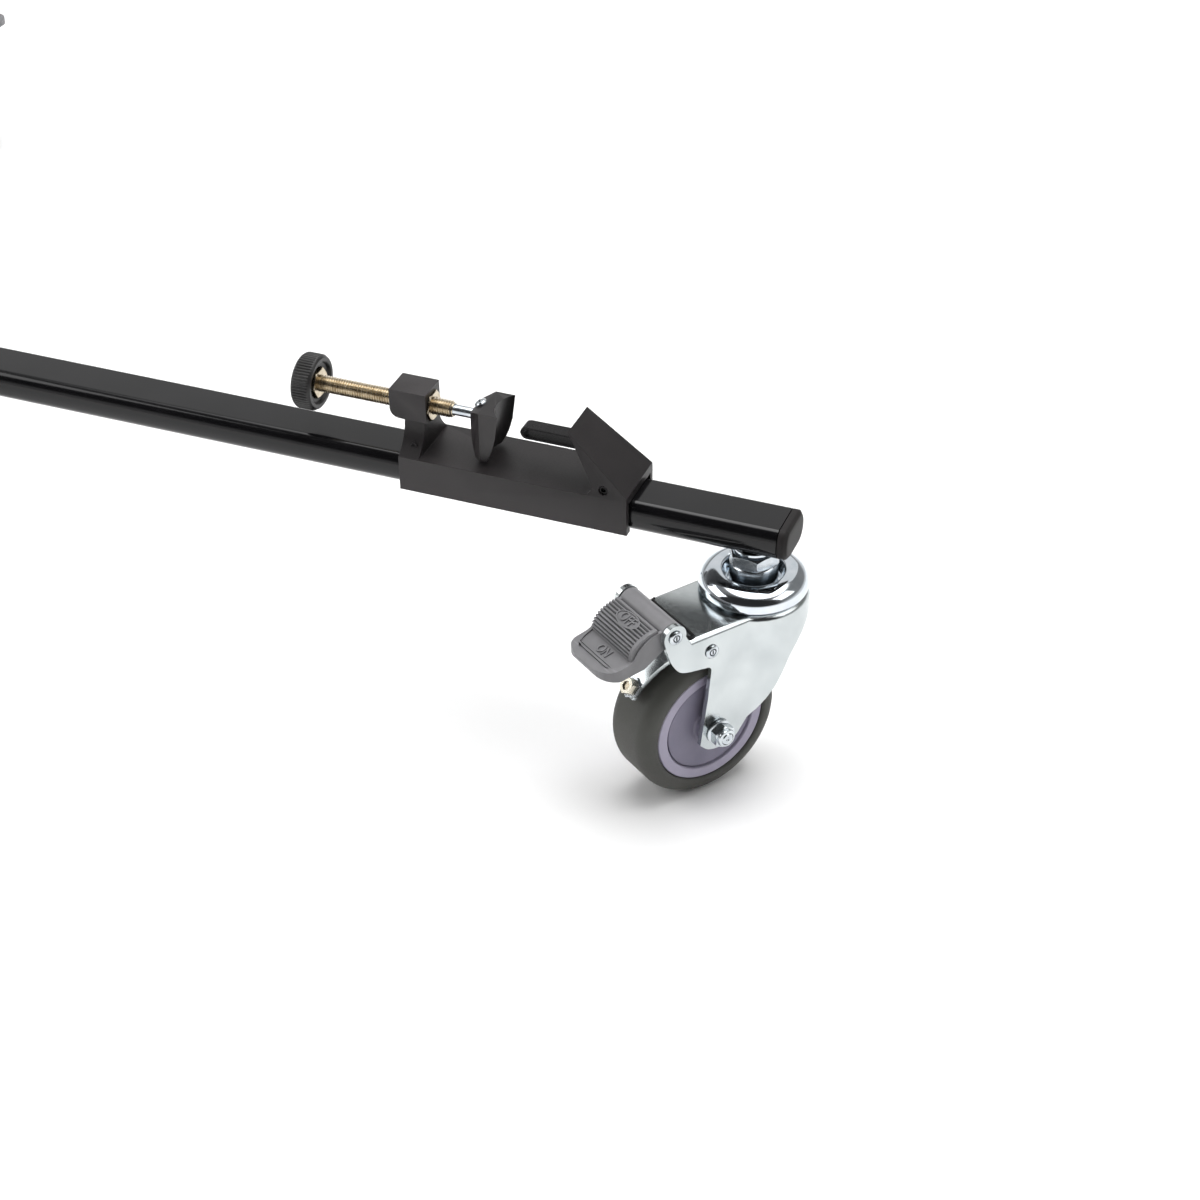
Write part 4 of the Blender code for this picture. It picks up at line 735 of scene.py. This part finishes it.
def fork_shell():
    """Legs, bowl and crown as one bent sheet."""
    rows = [(0.0, 22), (0.0, FORK_TOP - FORK_BEND)]
    for i in range(1, 5):
        turn = pi / 2 * i / 4
        rows.append((FORK_BEND * (1 - cos(turn)), FORK_TOP - FORK_BEND * (1 - sin(turn))))
    edit = bmesh.new()
    rings = [[edit.verts.new(Vector((x, y, z)) * MM) for x, y in fork_plan(inset)] for inset, z in rows]
    for low, high in zip(rings, rings[1:]):
        for i in range(len(low) - 1):
            edit.faces.new((low[i], low[i + 1], high[i + 1], high[i]))
    edit.faces.new(rings[-1])
    bmesh.ops.recalc_face_normals(edit, faces=edit.faces)
    if max(edit.faces, key=lambda face: face.calc_area() * abs(face.normal.z)).normal.z < 0:
        bmesh.ops.reverse_faces(edit, faces=edit.faces)
    mesh = bpy.data.meshes.new("fork")
    edit.to_mesh(mesh)
    edit.free()
    shell = new_object("fork", mesh)
    sheet = shell.modifiers.new("Sheet", "SOLIDIFY")
    sheet.thickness = FORK_SHEET * MM
    sheet.offset = -1.0
    sheet.use_even_offset = True
    return bake(shell)


def leg_outline():
    """The side view of the legs and crown that the bent sheet is trimmed to."""
    top, axle = FORK_TOP, WHEEL_RADIUS
    rear = smooth([
        (-FORK_BOWL, top - 4.6), (-18, top - 9), (-4.5, top - 21.4),
        (0.7, top - 30.1), (5.9, axle + 15.7), (TRAIL - 14.5, axle - 1.2),
        (TRAIL - 9, axle - 7.6), (TRAIL - 2, axle - 9.6),
        (TRAIL + 5, axle - 8.6), (TRAIL + 9.6, axle - 4.6),
    ], 4)
    corner = 2.6
    knee = (TRAIL + 4.1 + corner, top - 17.4 - corner)
    front = [(TRAIL + 5.9, axle + 19.5), *arc(knee, corner, pi, pi / 2, 6)]
    above = top + 5
    return [
        (-FORK_BOWL - 5, above), (-FORK_BOWL - 5, top - 4.6), *rear, *front,
        (FORK_FRONT + 1, top - 15.8), (FORK_FRONT + 1, above),
    ]


def ear_outline():
    top = FORK_TOP
    chin = smooth([
        (FORK_FRONT - 2, top - 16.2), (FORK_FRONT + 1, top - 15.8),
        (PEDAL_X - 2.6, top - 13.8), (PEDAL_X + 1.5, top - 8.3),
        (PEDAL_X + 3.9, top - 1.7),
        (PEDAL_X + EAR_RADIUS * cos(radians(-12)), PEDAL_Z + EAR_RADIUS * sin(radians(-12))),
    ], 4)
    crown = arc((PEDAL_X, PEDAL_Z), EAR_RADIUS, 0, radians(195), 20)
    return [*chin, *crown, (FORK_FRONT + 0.4, top - 0.8), (FORK_FRONT - 2, top - 3.5)]


def fork():
    body = trim(fork_shell(), prism(leg_outline(), -60, 60))
    for side in (-1, 1):
        low, high = sorted((side * FORK_INNER, side * FORK_OUTER))
        body = join(body, prism(ear_outline(), low, high))
    crown = FORK_TOP + 1
    race = turned([
        (0, RACE_TOP), (RACE_RADIUS, RACE_TOP), (RACE_RADIUS + 0.6, crown + 0.3),
        (RACE_RADIUS + 1.4, crown), (FORK_BOWL - 4.2, crown), (FORK_BOWL - 2.8, crown - 0.3),
        (FORK_BOWL - 1.5, crown - 1.1), (FORK_BOWL - 0.7, crown - 2.3),
        (FORK_BOWL - 0.4, FORK_TOP - FORK_BEND), (FORK_BOWL - 2, FORK_TOP - 1.5),
        (0, FORK_TOP - 1.5),
    ], steps=FINE)
    body = join(body, race)
    body = cut(body, cylinder(KINGPIN + GAP, FORK_TOP - 10, RACE_TOP + 1))
    for radius, x, z in ((AXLE, TRAIL, WHEEL_RADIUS), (PIN, PEDAL_X, PEDAL_Z), (PIN, SHOE_X, SHOE_Z)):
        body = cut(body, cylinder(radius + GAP, -FORK_BOWL, FORK_BOWL, "Y", (x, 0, z)))
    return shaded(rounded(clean(body, 0.1), 0.35, 2, 42), "zinc", 38)


def wheel_core():
    """The moulded core: hub boss, dished disc, the fine gap that sets off its ring, and the bore."""
    face, disc = WHEEL_FACE, WHEEL_FACE - 0.9
    outer = TYRE_BORE - GAP
    right = [
        (AXLE + GAP, HALF_HUB), (WHEEL_HUB - 0.5, HALF_HUB), (WHEEL_HUB, HALF_HUB - 0.5),
        (WHEEL_HUB + 0.2, disc + 0.6), (WHEEL_HUB + 1.0, disc), (14.8, disc - 0.25),
        (21.9, disc), (22.6, disc - 0.1), (22.9, disc - 1.4), (23.3, disc - 1.4),
    ]
    ring = [
        (23.3, disc - 1.4), (RIM_INNER, face - 0.4), (RIM_INNER + 0.35, face),
        (outer - 0.4, face), (outer, face - 0.4),
    ]
    core = turned(both_sides(right), "Y", FINE, AXLE_PLACE, closed=True)
    rim = turned(both_sides(ring), "Y", FINE, AXLE_PLACE, closed=True)
    return [shaded(core, "disc", 30), shaded(rim, "ring", 30)]


def tyre():
    """The tyre, with full rounded shoulders and a small bead round the rim."""
    half, shoulder = TYRE_WIDTH / 2, 7.0
    right = [
        (TYRE_BORE, WHEEL_FACE - 0.9), (TYRE_BORE + 0.1, WHEEL_FACE - 0.1), (TYRE_BORE + 0.5, half - 0.3),
        (TYRE_BORE + 1.2, half - 0.05),
    ]
    middle = (WHEEL_RADIUS - shoulder, half - shoulder)
    right += reversed(arc(middle, shoulder, 0.02, pi / 2, 12))
    right += [(WHEEL_RADIUS - 0.02, 5), (WHEEL_RADIUS, 0.5)]
    mesh = turned(both_sides(right), "Y", FINE + 24, AXLE_PLACE, closed=True)
    return shaded(mesh, "tyre", 60)


def axle_bolt():
    """The bolt: its hex head on the far side, and the threaded end that stands out of the nut."""
    place, head, tip = AXLE_PLACE, FORK_OUTER + GAP, FORK_OUTER + 7.9
    shank = turned([
        (0, -head - 1), (AXLE, -head - 1), (AXLE, tip - 0.6), (AXLE - 0.5, tip), (1.0, tip),
        (0.5, tip - 0.5), (0, tip - 0.5),
    ], "Y", SMALL, place)
    hexed = hexagon(10, -head - 4, -head, "Y", place, chamfer=0.5)
    return [shaded(shank, "hex"), shaded(rounded(hexed, 0.15), "hex")]


def axle_nut():
    """A flanged lock nut: flange, chamfered hex and the round collar that holds its insert."""
    place, seat = AXLE_PLACE, FORK_OUTER + GAP
    flange = turned([
        (AXLE + 0.1, seat + 7.2), (3.7, seat + 7.2), (4.2, seat + 6.9),
        (4.6, seat + 5.6), (4.7, seat + 1.4), (5.6, seat + 1.2),
        (6.2, seat + 0.7), (6.2, seat + 0.1), (6.0, seat), (AXLE + 0.1, seat),
    ], "Y", MEDIUM, place, closed=True)
    hexed = hexagon(10, seat + 0.9, seat + 5.6, "Y", place, chamfer=0.8)
    hexed = cut(hexed, cylinder(AXLE + 0.1, seat, seat + 9, "Y", place))
    return [shaded(flange, "hex"), shaded(hexed, "hex")]


def tubular_rivet(x, z):
    """A hollow rivet through both legs, with rolled ends; the near-black bar in its slot and the rings at
    the bottom of its rolled ends are painted shade.
    """
    head = FORK_OUTER + GAP
    half = [
        (0.0, head + 0.75), (1.25, head + 0.75), (1.35, head + 0.25), (1.7, head + 0.25),
        (1.85, head + 0.8), (2.3, head + 1.0), (2.9, head + 0.85), (3.35, head + 0.4),
        (3.4, head), (PIN, head),
    ]
    body = turned(both_sides(half), "Y", SMALL, (x, 0, z))
    # Painted shade: a near-black bar in the slot and a near-black ring in each rolled end
    wide, tall = 0.36, 1.0
    slot = [(x - wide, z - tall), (x + wide, z - tall), (x + wide, z + tall), (x - wide, z + tall)]
    core = prism(slot, -head - 0.78, head + 0.78)
    well = turned(both_sides([(1.34, head + 0.27), (1.71, head + 0.27)]), "Y", SMALL, (x, 0, z), closed=True)
    return [shaded(body, "hex"), shaded(core, "painted_shade"), shaded(well, "painted_shade")]


def brake_plate():
    """The shoe over the tyre, hung on its rivet."""
    centre = (TRAIL, WHEEL_RADIUS)
    start = atan2(SHOE_Z - centre[1], SHOE_X - centre[0] - 3)
    end = SHOE_ANGLE - radians(6)
    band = prism([*arc(centre, SHOE_INNER, start, end, 22), *arc(centre, SHOE_OUTER, end, start, 22)],
                 -SHOE_WIDTH / 2, SHOE_WIDTH / 2)
    neck = [
        (SHOE_X - 3.4, SHOE_Z), (SHOE_X - 3.4, centre[1] + SHOE_INNER + 0.8),
        (SHOE_X + 3.4, centre[1] + SHOE_INNER + 0.3), (SHOE_X + 3.4, SHOE_Z),
    ]
    eye = cylinder(3.4, -SHOE_WIDTH / 2, SHOE_WIDTH / 2, "Y", (SHOE_X, 0, SHOE_Z))
    half_neck = SHOE_WIDTH / 2 - 0.5
    plate = join(band, prism(neck, -half_neck, half_neck), eye)
    tip = centre[0] + SHOE_OUTER * cos(end)
    plan = [(SHOE_X - 8, -SHOE_WIDTH), (SHOE_X + 8, -SHOE_WIDTH / 2), (tip, -3.5)]
    plate = trim(plate, upright(both_sides(plan)))
    return shaded(rounded(clean(plate), 0.25), "zinc")


def shoe_screw():
    """The set screw at the shoe's tip: a boss nut and a hex head with a socket, at whose bottom a near-black
    disc is painted shade.
    """
    near, far = WHEEL_RADIUS + 1.5, SHOE_OUTER + 4.4
    shank = cylinder(2, near, far - 1)
    boss = hexagon(9, SHOE_INNER + 0.3, SHOE_OUTER + 0.9, chamfer=0.4)
    head = hexagon(7, SHOE_OUTER + 0.8, far, chamfer=0.6)
    head = cut(head, cylinder(2.3, far - 1.8, far + 1, steps=6))
    # Painted shade: a near-black disc at the bottom of the socket
    socket = cylinder(2.25, far - 2.0, far - 1.5)
    aim = shift(*AXLE_PLACE) @ Matrix.Rotation(pi / 2 - SHOE_ANGLE, 4, "Y")
    made = []
    looks = ((shank, "brass"), (boss, "hex"), (rounded(head, 0.15), "pale_brass"), (socket, "painted_shade"))
    for obj, finish_name in looks:
        obj.data.transform(aim)
        made.append(shaded(obj, finish_name))
    return made


def spring_wire():
    """The wire that lies along the crown's front edge and hooks in behind the near ear."""
    x, z, half = FORK_FRONT - 3.4, FORK_TOP + 0.65, FORK_INNER - 0.6
    route = [
        (x - 1.6, -half, z + 0.1), (x - 0.4, -half + 0.6, z), (x, -half + 2, z),
        (x, 0, z), (x, half - 1.6, z), (x + 0.5, half + 0.2, z), (x + 2.0, half + 0.6, z),
        (x + 3.0, half - 0.6, z), (x + 2.9, half - 2.2, z),
    ]
    curve = bpy.data.curves.new("wire", "CURVE")
    curve.dimensions = "3D"
    curve.bevel_depth = 0.6 * MM
    curve.bevel_resolution = 3
    curve.use_fill_caps = True
    spline = curve.splines.new("POLY")
    points = smooth(route, 4)
    spline.points.add(len(points) - 1)
    for point, place in zip(spline.points, points):
        point.co = (*[c * MM for c in place], 1.0)
    return shaded(bake(new_object("wire", curve)), "dark_steel")


# Pedal

def pad_line():
    """The pad's bulging outer line, (x, z) from the pedal's pin."""
    return smooth([
        (6.6, 4.2), (11.5, 3.3), (16.6, 0.9),
        (19.9, -2.8), (20.9, -7.0),
    ], 8)


def flap_line():
    return smooth([
        (4.5, 3.0), (11.5, 1.6), (17, -2.2), (20.4, -6.8),
        (25, -8.4), (30.5, -8.9), (34.2, -9.2), (35.6, -10.4),
        (34.6, -12.8),
    ], 5)


def along(line, distance):
    """The point at a distance along a line, and the direction out of its left side."""
    for a, b in zip(line, line[1:]):
        step = hypot(b[0] - a[0], b[1] - a[1])
        if distance <= step or b == line[-1]:
            share = distance / step
            place = (a[0] + (b[0] - a[0]) * share, a[1] + (b[1] - a[1]) * share)
            return place, ((a[1] - b[1]) / step, (b[0] - a[0]) / step)
        distance -= step


def length_of(line):
    return sum(hypot(b[0] - a[0], b[1] - a[1]) for a, b in zip(line, line[1:]))


def from_pin(points):
    return [(PEDAL_X + u, PEDAL_Z + v) for u, v in points]


def follow(line, distance, lift):
    """A point at a distance along a line and a height above it, in the caster's frame."""
    place, out = along(line, distance)
    return PEDAL_X + place[0] + out[0] * lift, PEDAL_Z + place[1] + out[1] * lift


def band_over(line, start, end, low, high, half):
    """A slab that follows a stretch of a line between two heights above it."""
    count = 24
    steps = [start + (end - start) * i / count for i in range(count + 1)]
    outline = [follow(line, s, low) for s in steps] + [follow(line, s, high) for s in reversed(steps)]
    return prism(outline, -half, half)


def oval_post(line, middle, across, down):
    """An upright oval post that stands on the line's surface at a distance along it."""
    place, out = along(line, middle)
    angle = atan2(out[0], out[1])
    outline = [(down * cos(a), across * sin(a)) for a in [2 * pi * i / MEDIUM for i in range(MEDIUM)]]
    post = prism(outline, -3, 3, "XY")
    post.data.transform(shift(PEDAL_X + place[0], 0, PEDAL_Z + place[1]) @ Matrix.Rotation(angle, 4, "Y"))
    return post


OFF_PLACE, OFF_ACROSS, OFF_DOWN = 5.3, 7.5, 4.0
RIB_FIRST, RIB_PITCH, RIBS = 0.9, 1.74, 11


def rib_comb(line):
    """What cuts the grooves between the ribs, except where the oval stands."""
    teeth = []
    for i in range(RIBS * 8 + 1):
        s = RIB_FIRST + RIB_PITCH * i / 8
        fall = 1 - abs(cos(pi * i / 8))
        teeth.append(follow(line, s, 0.1 - 1.3 * fall))
    end = RIB_FIRST + RIB_PITCH * RIBS
    back = [follow(line, end - (end - RIB_FIRST) * i / 12, 3) for i in range(13)]
    side = PAD_WIDTH / 2 - PAD_SHOULDER
    comb = prism([*teeth, *back], -side - PAD_SHOULDER - 1, side + 1.6)
    return cut(comb, oval_post(line, OFF_PLACE, OFF_ACROSS, OFF_DOWN))


def lettering(text, line, middle, size, lift, depth):
    """Raised letters that follow the pedal's curve, read from its far side, their tops toward the pin."""
    curve = bpy.data.curves.new("letters", "FONT")
    curve.body = text
    curve.size = size * MM
    curve.align_x = curve.align_y = "CENTER"
    curve.extrude = depth / 2 * MM
    curve.bevel_depth = 0.06 * MM
    curve.bevel_resolution = 1
    curve.resolution_u = 6
    letters = bake(new_object("letters", curve))
    edit = bmesh.new()
    edit.from_mesh(letters.data)
    bmesh.ops.remove_doubles(edit, verts=edit.verts, dist=0.005 * MM)
    bmesh.ops.triangulate(edit, faces=edit.faces)
    for _ in range(2):
        long_edges = [e for e in edit.edges if e.calc_length() > 0.8 * MM]
        bmesh.ops.subdivide_edges(edit, edges=long_edges, cuts=1)
        bmesh.ops.triangulate(edit, faces=edit.faces)
    for vertex in edit.verts:
        across, up, out = vertex.co / MM
        x, z = follow(line, middle - up * 1.3, lift + out)
        vertex.co = Vector((x, across, z)) * MM
    bpy.data.objects.remove(letters)
    return shaded(from_bmesh(edit), "grey", 40)


def flap_plan(reach, side):
    """The flap from above: straight sides, round corners and a bowed front edge."""
    front = [(10.5, 0.0), (6.2, 0.7), (2.9, 3.2), (1.3, 7.4), (0.4, 11.0), (0.0, side - 1.0)]
    right = [(PEDAL_X - 2, -side), *smooth([(reach - u, -side + v) for u, v in front], 5)]
    return both_sides(right)


def brake_pedal():
    """Roller, ribbed pad and thick-lipped flap as one moulding, with the roller's end rings apart."""
    half = FORK_INNER - GAP
    line, base = pad_line(), flap_line()
    under = [(27, -14.8), (14, -13.2), (4, -7), (1.5, -4)]
    flap = prism(from_pin([*base, *under]), -PEDAL_WIDTH / 2, PEDAL_WIDTH / 2)
    reach, side, lip = PEDAL_X + 36.0, PEDAL_WIDTH / 2, 2.6
    flap = trim(flap, upright(flap_plan(reach, side)))
    flap = rounded(clean(flap), 1.7, 6, 40)
    total = length_of(base)
    sunk = upright(flap_plan(reach - lip - 1.6, side - 1.6))
    sunk = trim(sunk, band_over(base, 0.0, total - 5.4, -0.7, 4, side))
    flap = cut(flap, sunk)
    for back, wide, deep in ((8.3, 1.6, 1.3), (10.4, 0.5, 1.15)):
        groove = band_over(base, total - back - wide / 2, total - back + wide / 2, -deep, 1, side)
        inside = upright(flap_plan(reach - lip, side - 2.2))
        flap = cut(flap, trim(groove, inside))
    room = [(8, -20), (8.5, -3.8), (13, -2.6), (16.5, -5.4),
            (19, -9.4), (24, -11.2), (31.5, -12), (31.5, -20)]
    hollow = prism(from_pin(room), -PEDAL_WIDTH / 2 + 2.6, PEDAL_WIDTH / 2 - 2.6)
    pad = prism(from_pin([*line, (15, -6), (5, -2)]), -PAD_WIDTH / 2, PAD_WIDTH / 2)
    pad = rounded(pad, PAD_SHOULDER, 7, 50)
    pad = cut(pad, rib_comb(line))
    ring = band_over(line, 0.6, 13.0, -0.45, 3, 12)
    pad = cut(pad, trim(oval_post(line, OFF_PLACE, OFF_ACROSS - 0.6, OFF_DOWN - 0.6), ring))
    body = join(flap, pad)
    body = cut(body, hollow)
    roller = turned([
        (0, -half + 0.9), (3.6, -half + 0.9), (3.8, -half + 0.2), (4.1, -half),
        (PEDAL_ROLLER - 0.5, -half), (PEDAL_ROLLER, -half + 0.5), (PEDAL_ROLLER, half - 0.5),
        (PEDAL_ROLLER - 0.5, half), (4.1, half), (3.8, half - 0.2), (3.6, half - 0.9),
        (0, half - 0.9),
    ], "Y", MEDIUM, (PEDAL_X, 0, PEDAL_Z))
    body = join(body, roller)
    body = cut(body, cylinder(PIN + GAP, -30, 30, "Y", (PEDAL_X, 0, PEDAL_Z)))
    return shaded(body, "grey", 34)


# Hub

def lobe_outline(steps=22):
    centre, outline = HUB_RADIUS - HUB_LOBE, []
    for arm in range(3):
        aim = 2 * pi * arm / 3
        place = (centre * cos(aim), centre * sin(aim))
        outline += arc(place, HUB_LOBE, aim - pi / 3, aim + pi / 3, steps)
    return outline


HERE = Matrix.Identity(4)


def hub_pieces():
    """Both plates, the post, the rivets and the lobed knob."""
    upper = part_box("hub_upper_plate")[0].z / MM
    top = upper + HUB_PLATE
    lower_plate = rounded(prism(lobe_outline(), 0, HUB_PLATE, "XY"), 0.5, 2, 40)
    plate = prism(lobe_outline(), upper, top, "XY")
    bolt_hole = cylinder(4.3, upper - 1, top + 1)
    upper_plate = rounded(cut(plate, bolt_hole), 0.5, 2, 40)
    post = cylinder(9, HUB_PLATE / 2, upper - GAP, steps=MEDIUM)
    for plate, node_name in ((lower_plate, "hub_lower_plate"), (upper_plate, "hub_upper_plate")):
        put(shaded(plate, "plate_steel"), node_name + "_shape", HERE, node_name, node_name)
    put(shaded(post, "plate_steel"), "hub_post", HERE, "hub_lower_plate")
    head = top + GAP
    rivet = turned([
        (0, HUB_PLATE / 2), (4, HUB_PLATE / 2), (4, head), (7, head), (7, head + 0.3),
        (6.4, head + 1.1), (5.2, head + 1.8), (3.2, head + 2.25), (0, head + 2.4),
    ])
    rivet = shaded(rivet, "hex", 50)
    aims = [2 * pi * arm / 3 for arm in range(3)]
    places = [(PIVOT_RADIUS * cos(a), PIVOT_RADIUS * sin(a)) for a in aims]
    places.append((PIVOT_RADIUS + SECOND_RIVET, 0.0))
    for count, (x, y) in enumerate(places, 1):
        put(rivet, f"hub_rivet_{count}", shift(x, y), "hub_lower_plate")
    lobes, dip, radius = 6, 2.2, 17
    outline = []
    for i in range(lobes * 20):
        turn = 2 * pi * i / (lobes * 20)
        r = radius - dip * (1 - cos(lobes * turn)) / 2
        outline.append((r * cos(turn), r * sin(turn)))
    knob = prism(outline, head + 3, head + 16, "XY")
    dish = turned([(0, head + 15.2), (9, head + 15.2), (10, head + 17), (0, head + 17)])
    knob = rounded(cut(knob, dish), 1.3, 4, 40)
    collar = turned([
        (0, head), (10.2, head), (10.2, head + 0.6), (9.4, head + 3.2), (0, head + 3.2),
    ])
    bolt = cylinder(4, HUB_PLATE + 2, head + 1)
    put(shaded(knob, "clamp", 30), "hub_knob_grip", HERE, "hub_knob", "hub_knob")
    put(shaded(collar, "hex"), "hub_knob_collar", HERE, "hub_knob")
    put(shaded(bolt, "hex"), "hub_knob_bolt", HERE, "hub_knob")


# Assembly

def arm_pieces(reach):
    """Each node of one arm, the frame its pieces are made in, and their meshes; the first replaces it."""
    flap, pad = flap_line(), pad_line()
    letters = [
        lettering("OFF", pad, OFF_PLACE, 5.3, -0.3, 0.9),
        lettering("ON", flap, length_of(flap) - 14.2, 5.2, -0.5, 0.8),
    ]
    return [
        ("arm_tube", "arm", [arm_tube(reach)]),
        ("arm_end_cap", "arm", [arm_end_cap(reach)]),
        ("clamp_jaw", "clamp", [clamp_jaw(), jaw_screw()]),
        ("clamp_screw", "clamp", [*clamp_screw(), spindle_pin()]),
        ("clamp_knob", "clamp", [clamp_knob()]),
        ("clamp_nut", "clamp", [clamp_nut()]),
        ("lever_pin", "clamp", roll_pin(2, LEVER_FROM_MIDDLE, 6.3, 15.4)),
        ("clamp_body", "clamp", [clamp_body(), *roll_pin(1.6, -49.4, 6.9, 12.3)]),
        ("lock_lever", "clamp", [lock_lever()]),
        ("caster_stem", "caster", caster_stem()),
        ("swivel_cap", "caster", [swivel_dome()]),
        ("fork", "caster", [fork(), spring_wire()]),
        ("wheel_core", "caster", wheel_core()),
        ("tyre", "caster", [tyre()]),
        ("axle_bolt", "caster", axle_bolt()),
        ("axle_nut", "caster", axle_nut()),
        ("brake_pin", "caster", tubular_rivet(PEDAL_X, PEDAL_Z)),
        ("brake_plate", "caster", [brake_plate(), *tubular_rivet(SHOE_X, SHOE_Z), *shoe_screw()]),
        ("brake_pedal", "caster", [brake_pedal(), *letters]),
    ]


def build_arms():
    reach = arm_frames(1)[1]
    pieces = arm_pieces(reach)
    for number in (1, 2, 3):
        frames = arm_frames(number)[0]
        for name, frame_name, meshes in pieces:
            node = f"{name}_{number}"
            for count, mesh in enumerate(meshes, 1):
                replaced = [node] if count == 1 else []
                put(mesh, f"{node}_piece_{count}", frames[frame_name], node, *replaced)


# Studio

def area_light(name, place, aim, size, power):
    light = bpy.data.lights.new(name, "AREA")
    light.shape = "RECTANGLE"
    light.size, light.size_y = size
    light.energy = power
    obj = bpy.data.objects.new(name, light)
    obj.location = place
    obj.rotation_euler = (Vector(aim) - Vector(place)).to_track_quat("-Z", "Y").to_euler()
    bpy.context.scene.collection.objects.link(obj)


def floor(level):
    edit = bmesh.new()
    bmesh.ops.create_grid(edit, x_segments=8, y_segments=8, size=6.0)
    obj = from_bmesh(edit)
    obj.location.z = level
    made, tree, shader = shader_nodes("pale_floor")
    feed(tree, shader, {"Base Color": (0.98, 0.98, 0.98, 1), "Roughness": 0.9, "Specular IOR Level": 0.0})
    obj.data.materials.append(made)


def ramp(tree, value, stops):
    """A grey ramp over a value, from (position, tone) stops."""
    made = node(tree, "ValToRGB", {"Fac": value})
    elements = made.color_ramp.elements
    for element, (position, tone) in zip(elements, (stops[0], stops[-1])):
        element.position, element.color = position, (tone, tone, tone, 1)
    for position, tone in stops[1:-1]:
        elements.new(position).color = (tone, tone, tone, 1)
    return made.outputs["Color"]


CEILING_LEAN, CEILING_TONE = radians(12), 4.8


def world():
    """A pale horizon, grey walls that are darker in front, and a bright ceiling that leans to the back."""
    made = bpy.data.worlds.new("studio")
    bpy.context.scene.world = made
    made.use_nodes = True
    tree = made.node_tree
    place = node(tree, "TexCoord", {}).outputs["Generated"]
    parts = node(tree, "SeparateXYZ", {"Vector": place})
    height = ramp(tree, parts.outputs["Z"], [(0.0, 0.9), (0.1, 0.8), (0.24, 0.26), (1.0, 0.22)])
    wall = ramp(tree, parts.outputs["Z"], [(0.1, 1.0), (0.24, 0.12), (1.0, 0.12)])
    front = node(tree, "MapRange", {"Value": parts.outputs["Y"], "From Min": -0.1, "From Max": -0.4})
    walls = blend(tree, "MULTIPLY", {"Factor": front.outputs["Result"], "A": height, "B": wall})
    lean = node(tree, "Mapping", {"Vector": place, "Rotation": (CEILING_LEAN, 0, 0)})
    leaned = node(tree, "SeparateXYZ", {"Vector": lean.outputs["Vector"]})
    ceiling = ramp(tree, leaned.outputs["Z"], [(0.86, 0.0), (0.94, CEILING_TONE), (1.0, CEILING_TONE)])
    both = blend(tree, "ADD", {"Factor": 1.0, "A": walls, "B": ceiling})
    feed(tree, tree.nodes["Background"], {"Color": both})


CAMERA_PLACE = Vector((0.8049, -0.9439, 0.6804))
CAMERA_AZIMUTH, CAMERA_ELEVATION, CAMERA_ROLL = radians(21.89), radians(35.51), radians(-0.79)
FOCAL_PIXELS, FRAME_PIXELS, SENSOR = 2697.95, 1200, 36.0


def camera():
    """The photograph's camera, found from the wheel, the fork and the arm."""
    azimuth, elevation = CAMERA_AZIMUTH, CAMERA_ELEVATION
    back = Vector((sin(azimuth) * cos(elevation), -cos(azimuth) * cos(elevation), sin(elevation)))
    right = Vector((cos(azimuth), sin(azimuth), 0))
    up = back.cross(right)
    turned_right = right * cos(CAMERA_ROLL) + up * sin(CAMERA_ROLL)
    turned_up = up * cos(CAMERA_ROLL) - right * sin(CAMERA_ROLL)
    data = bpy.data.cameras.new("camera")
    data.sensor_width = SENSOR
    data.lens = FOCAL_PIXELS / FRAME_PIXELS * SENSOR
    data.clip_start = 0.01
    obj = bpy.data.objects.new("camera", data)
    bpy.context.scene.collection.objects.link(obj)
    matrix = Matrix((turned_right, turned_up, back)).transposed().to_4x4()
    matrix.translation = CAMERA_PLACE
    obj.matrix_world = matrix
    bpy.context.scene.camera = obj


camera()
hub_pieces()
build_arms()
caster = joint_place("wheel_spin_1")
floor(caster.z - WHEEL_RADIUS * MM)
world()
area_light("left", (-0.96, -0.41, 0.95), (0.45, 0, 0), (1.3, 1.0), 12)
area_light("right", (1.8, 0.15, 1.16), (0.48, 0, 0), (1.1, 0.9), 6)
area_light("back", (-0.3, 1.45, 1.15), (0.35, 0, 0), (2.4, 1.2), 5.5)
bpy.context.scene.view_settings.view_transform = "Standard"
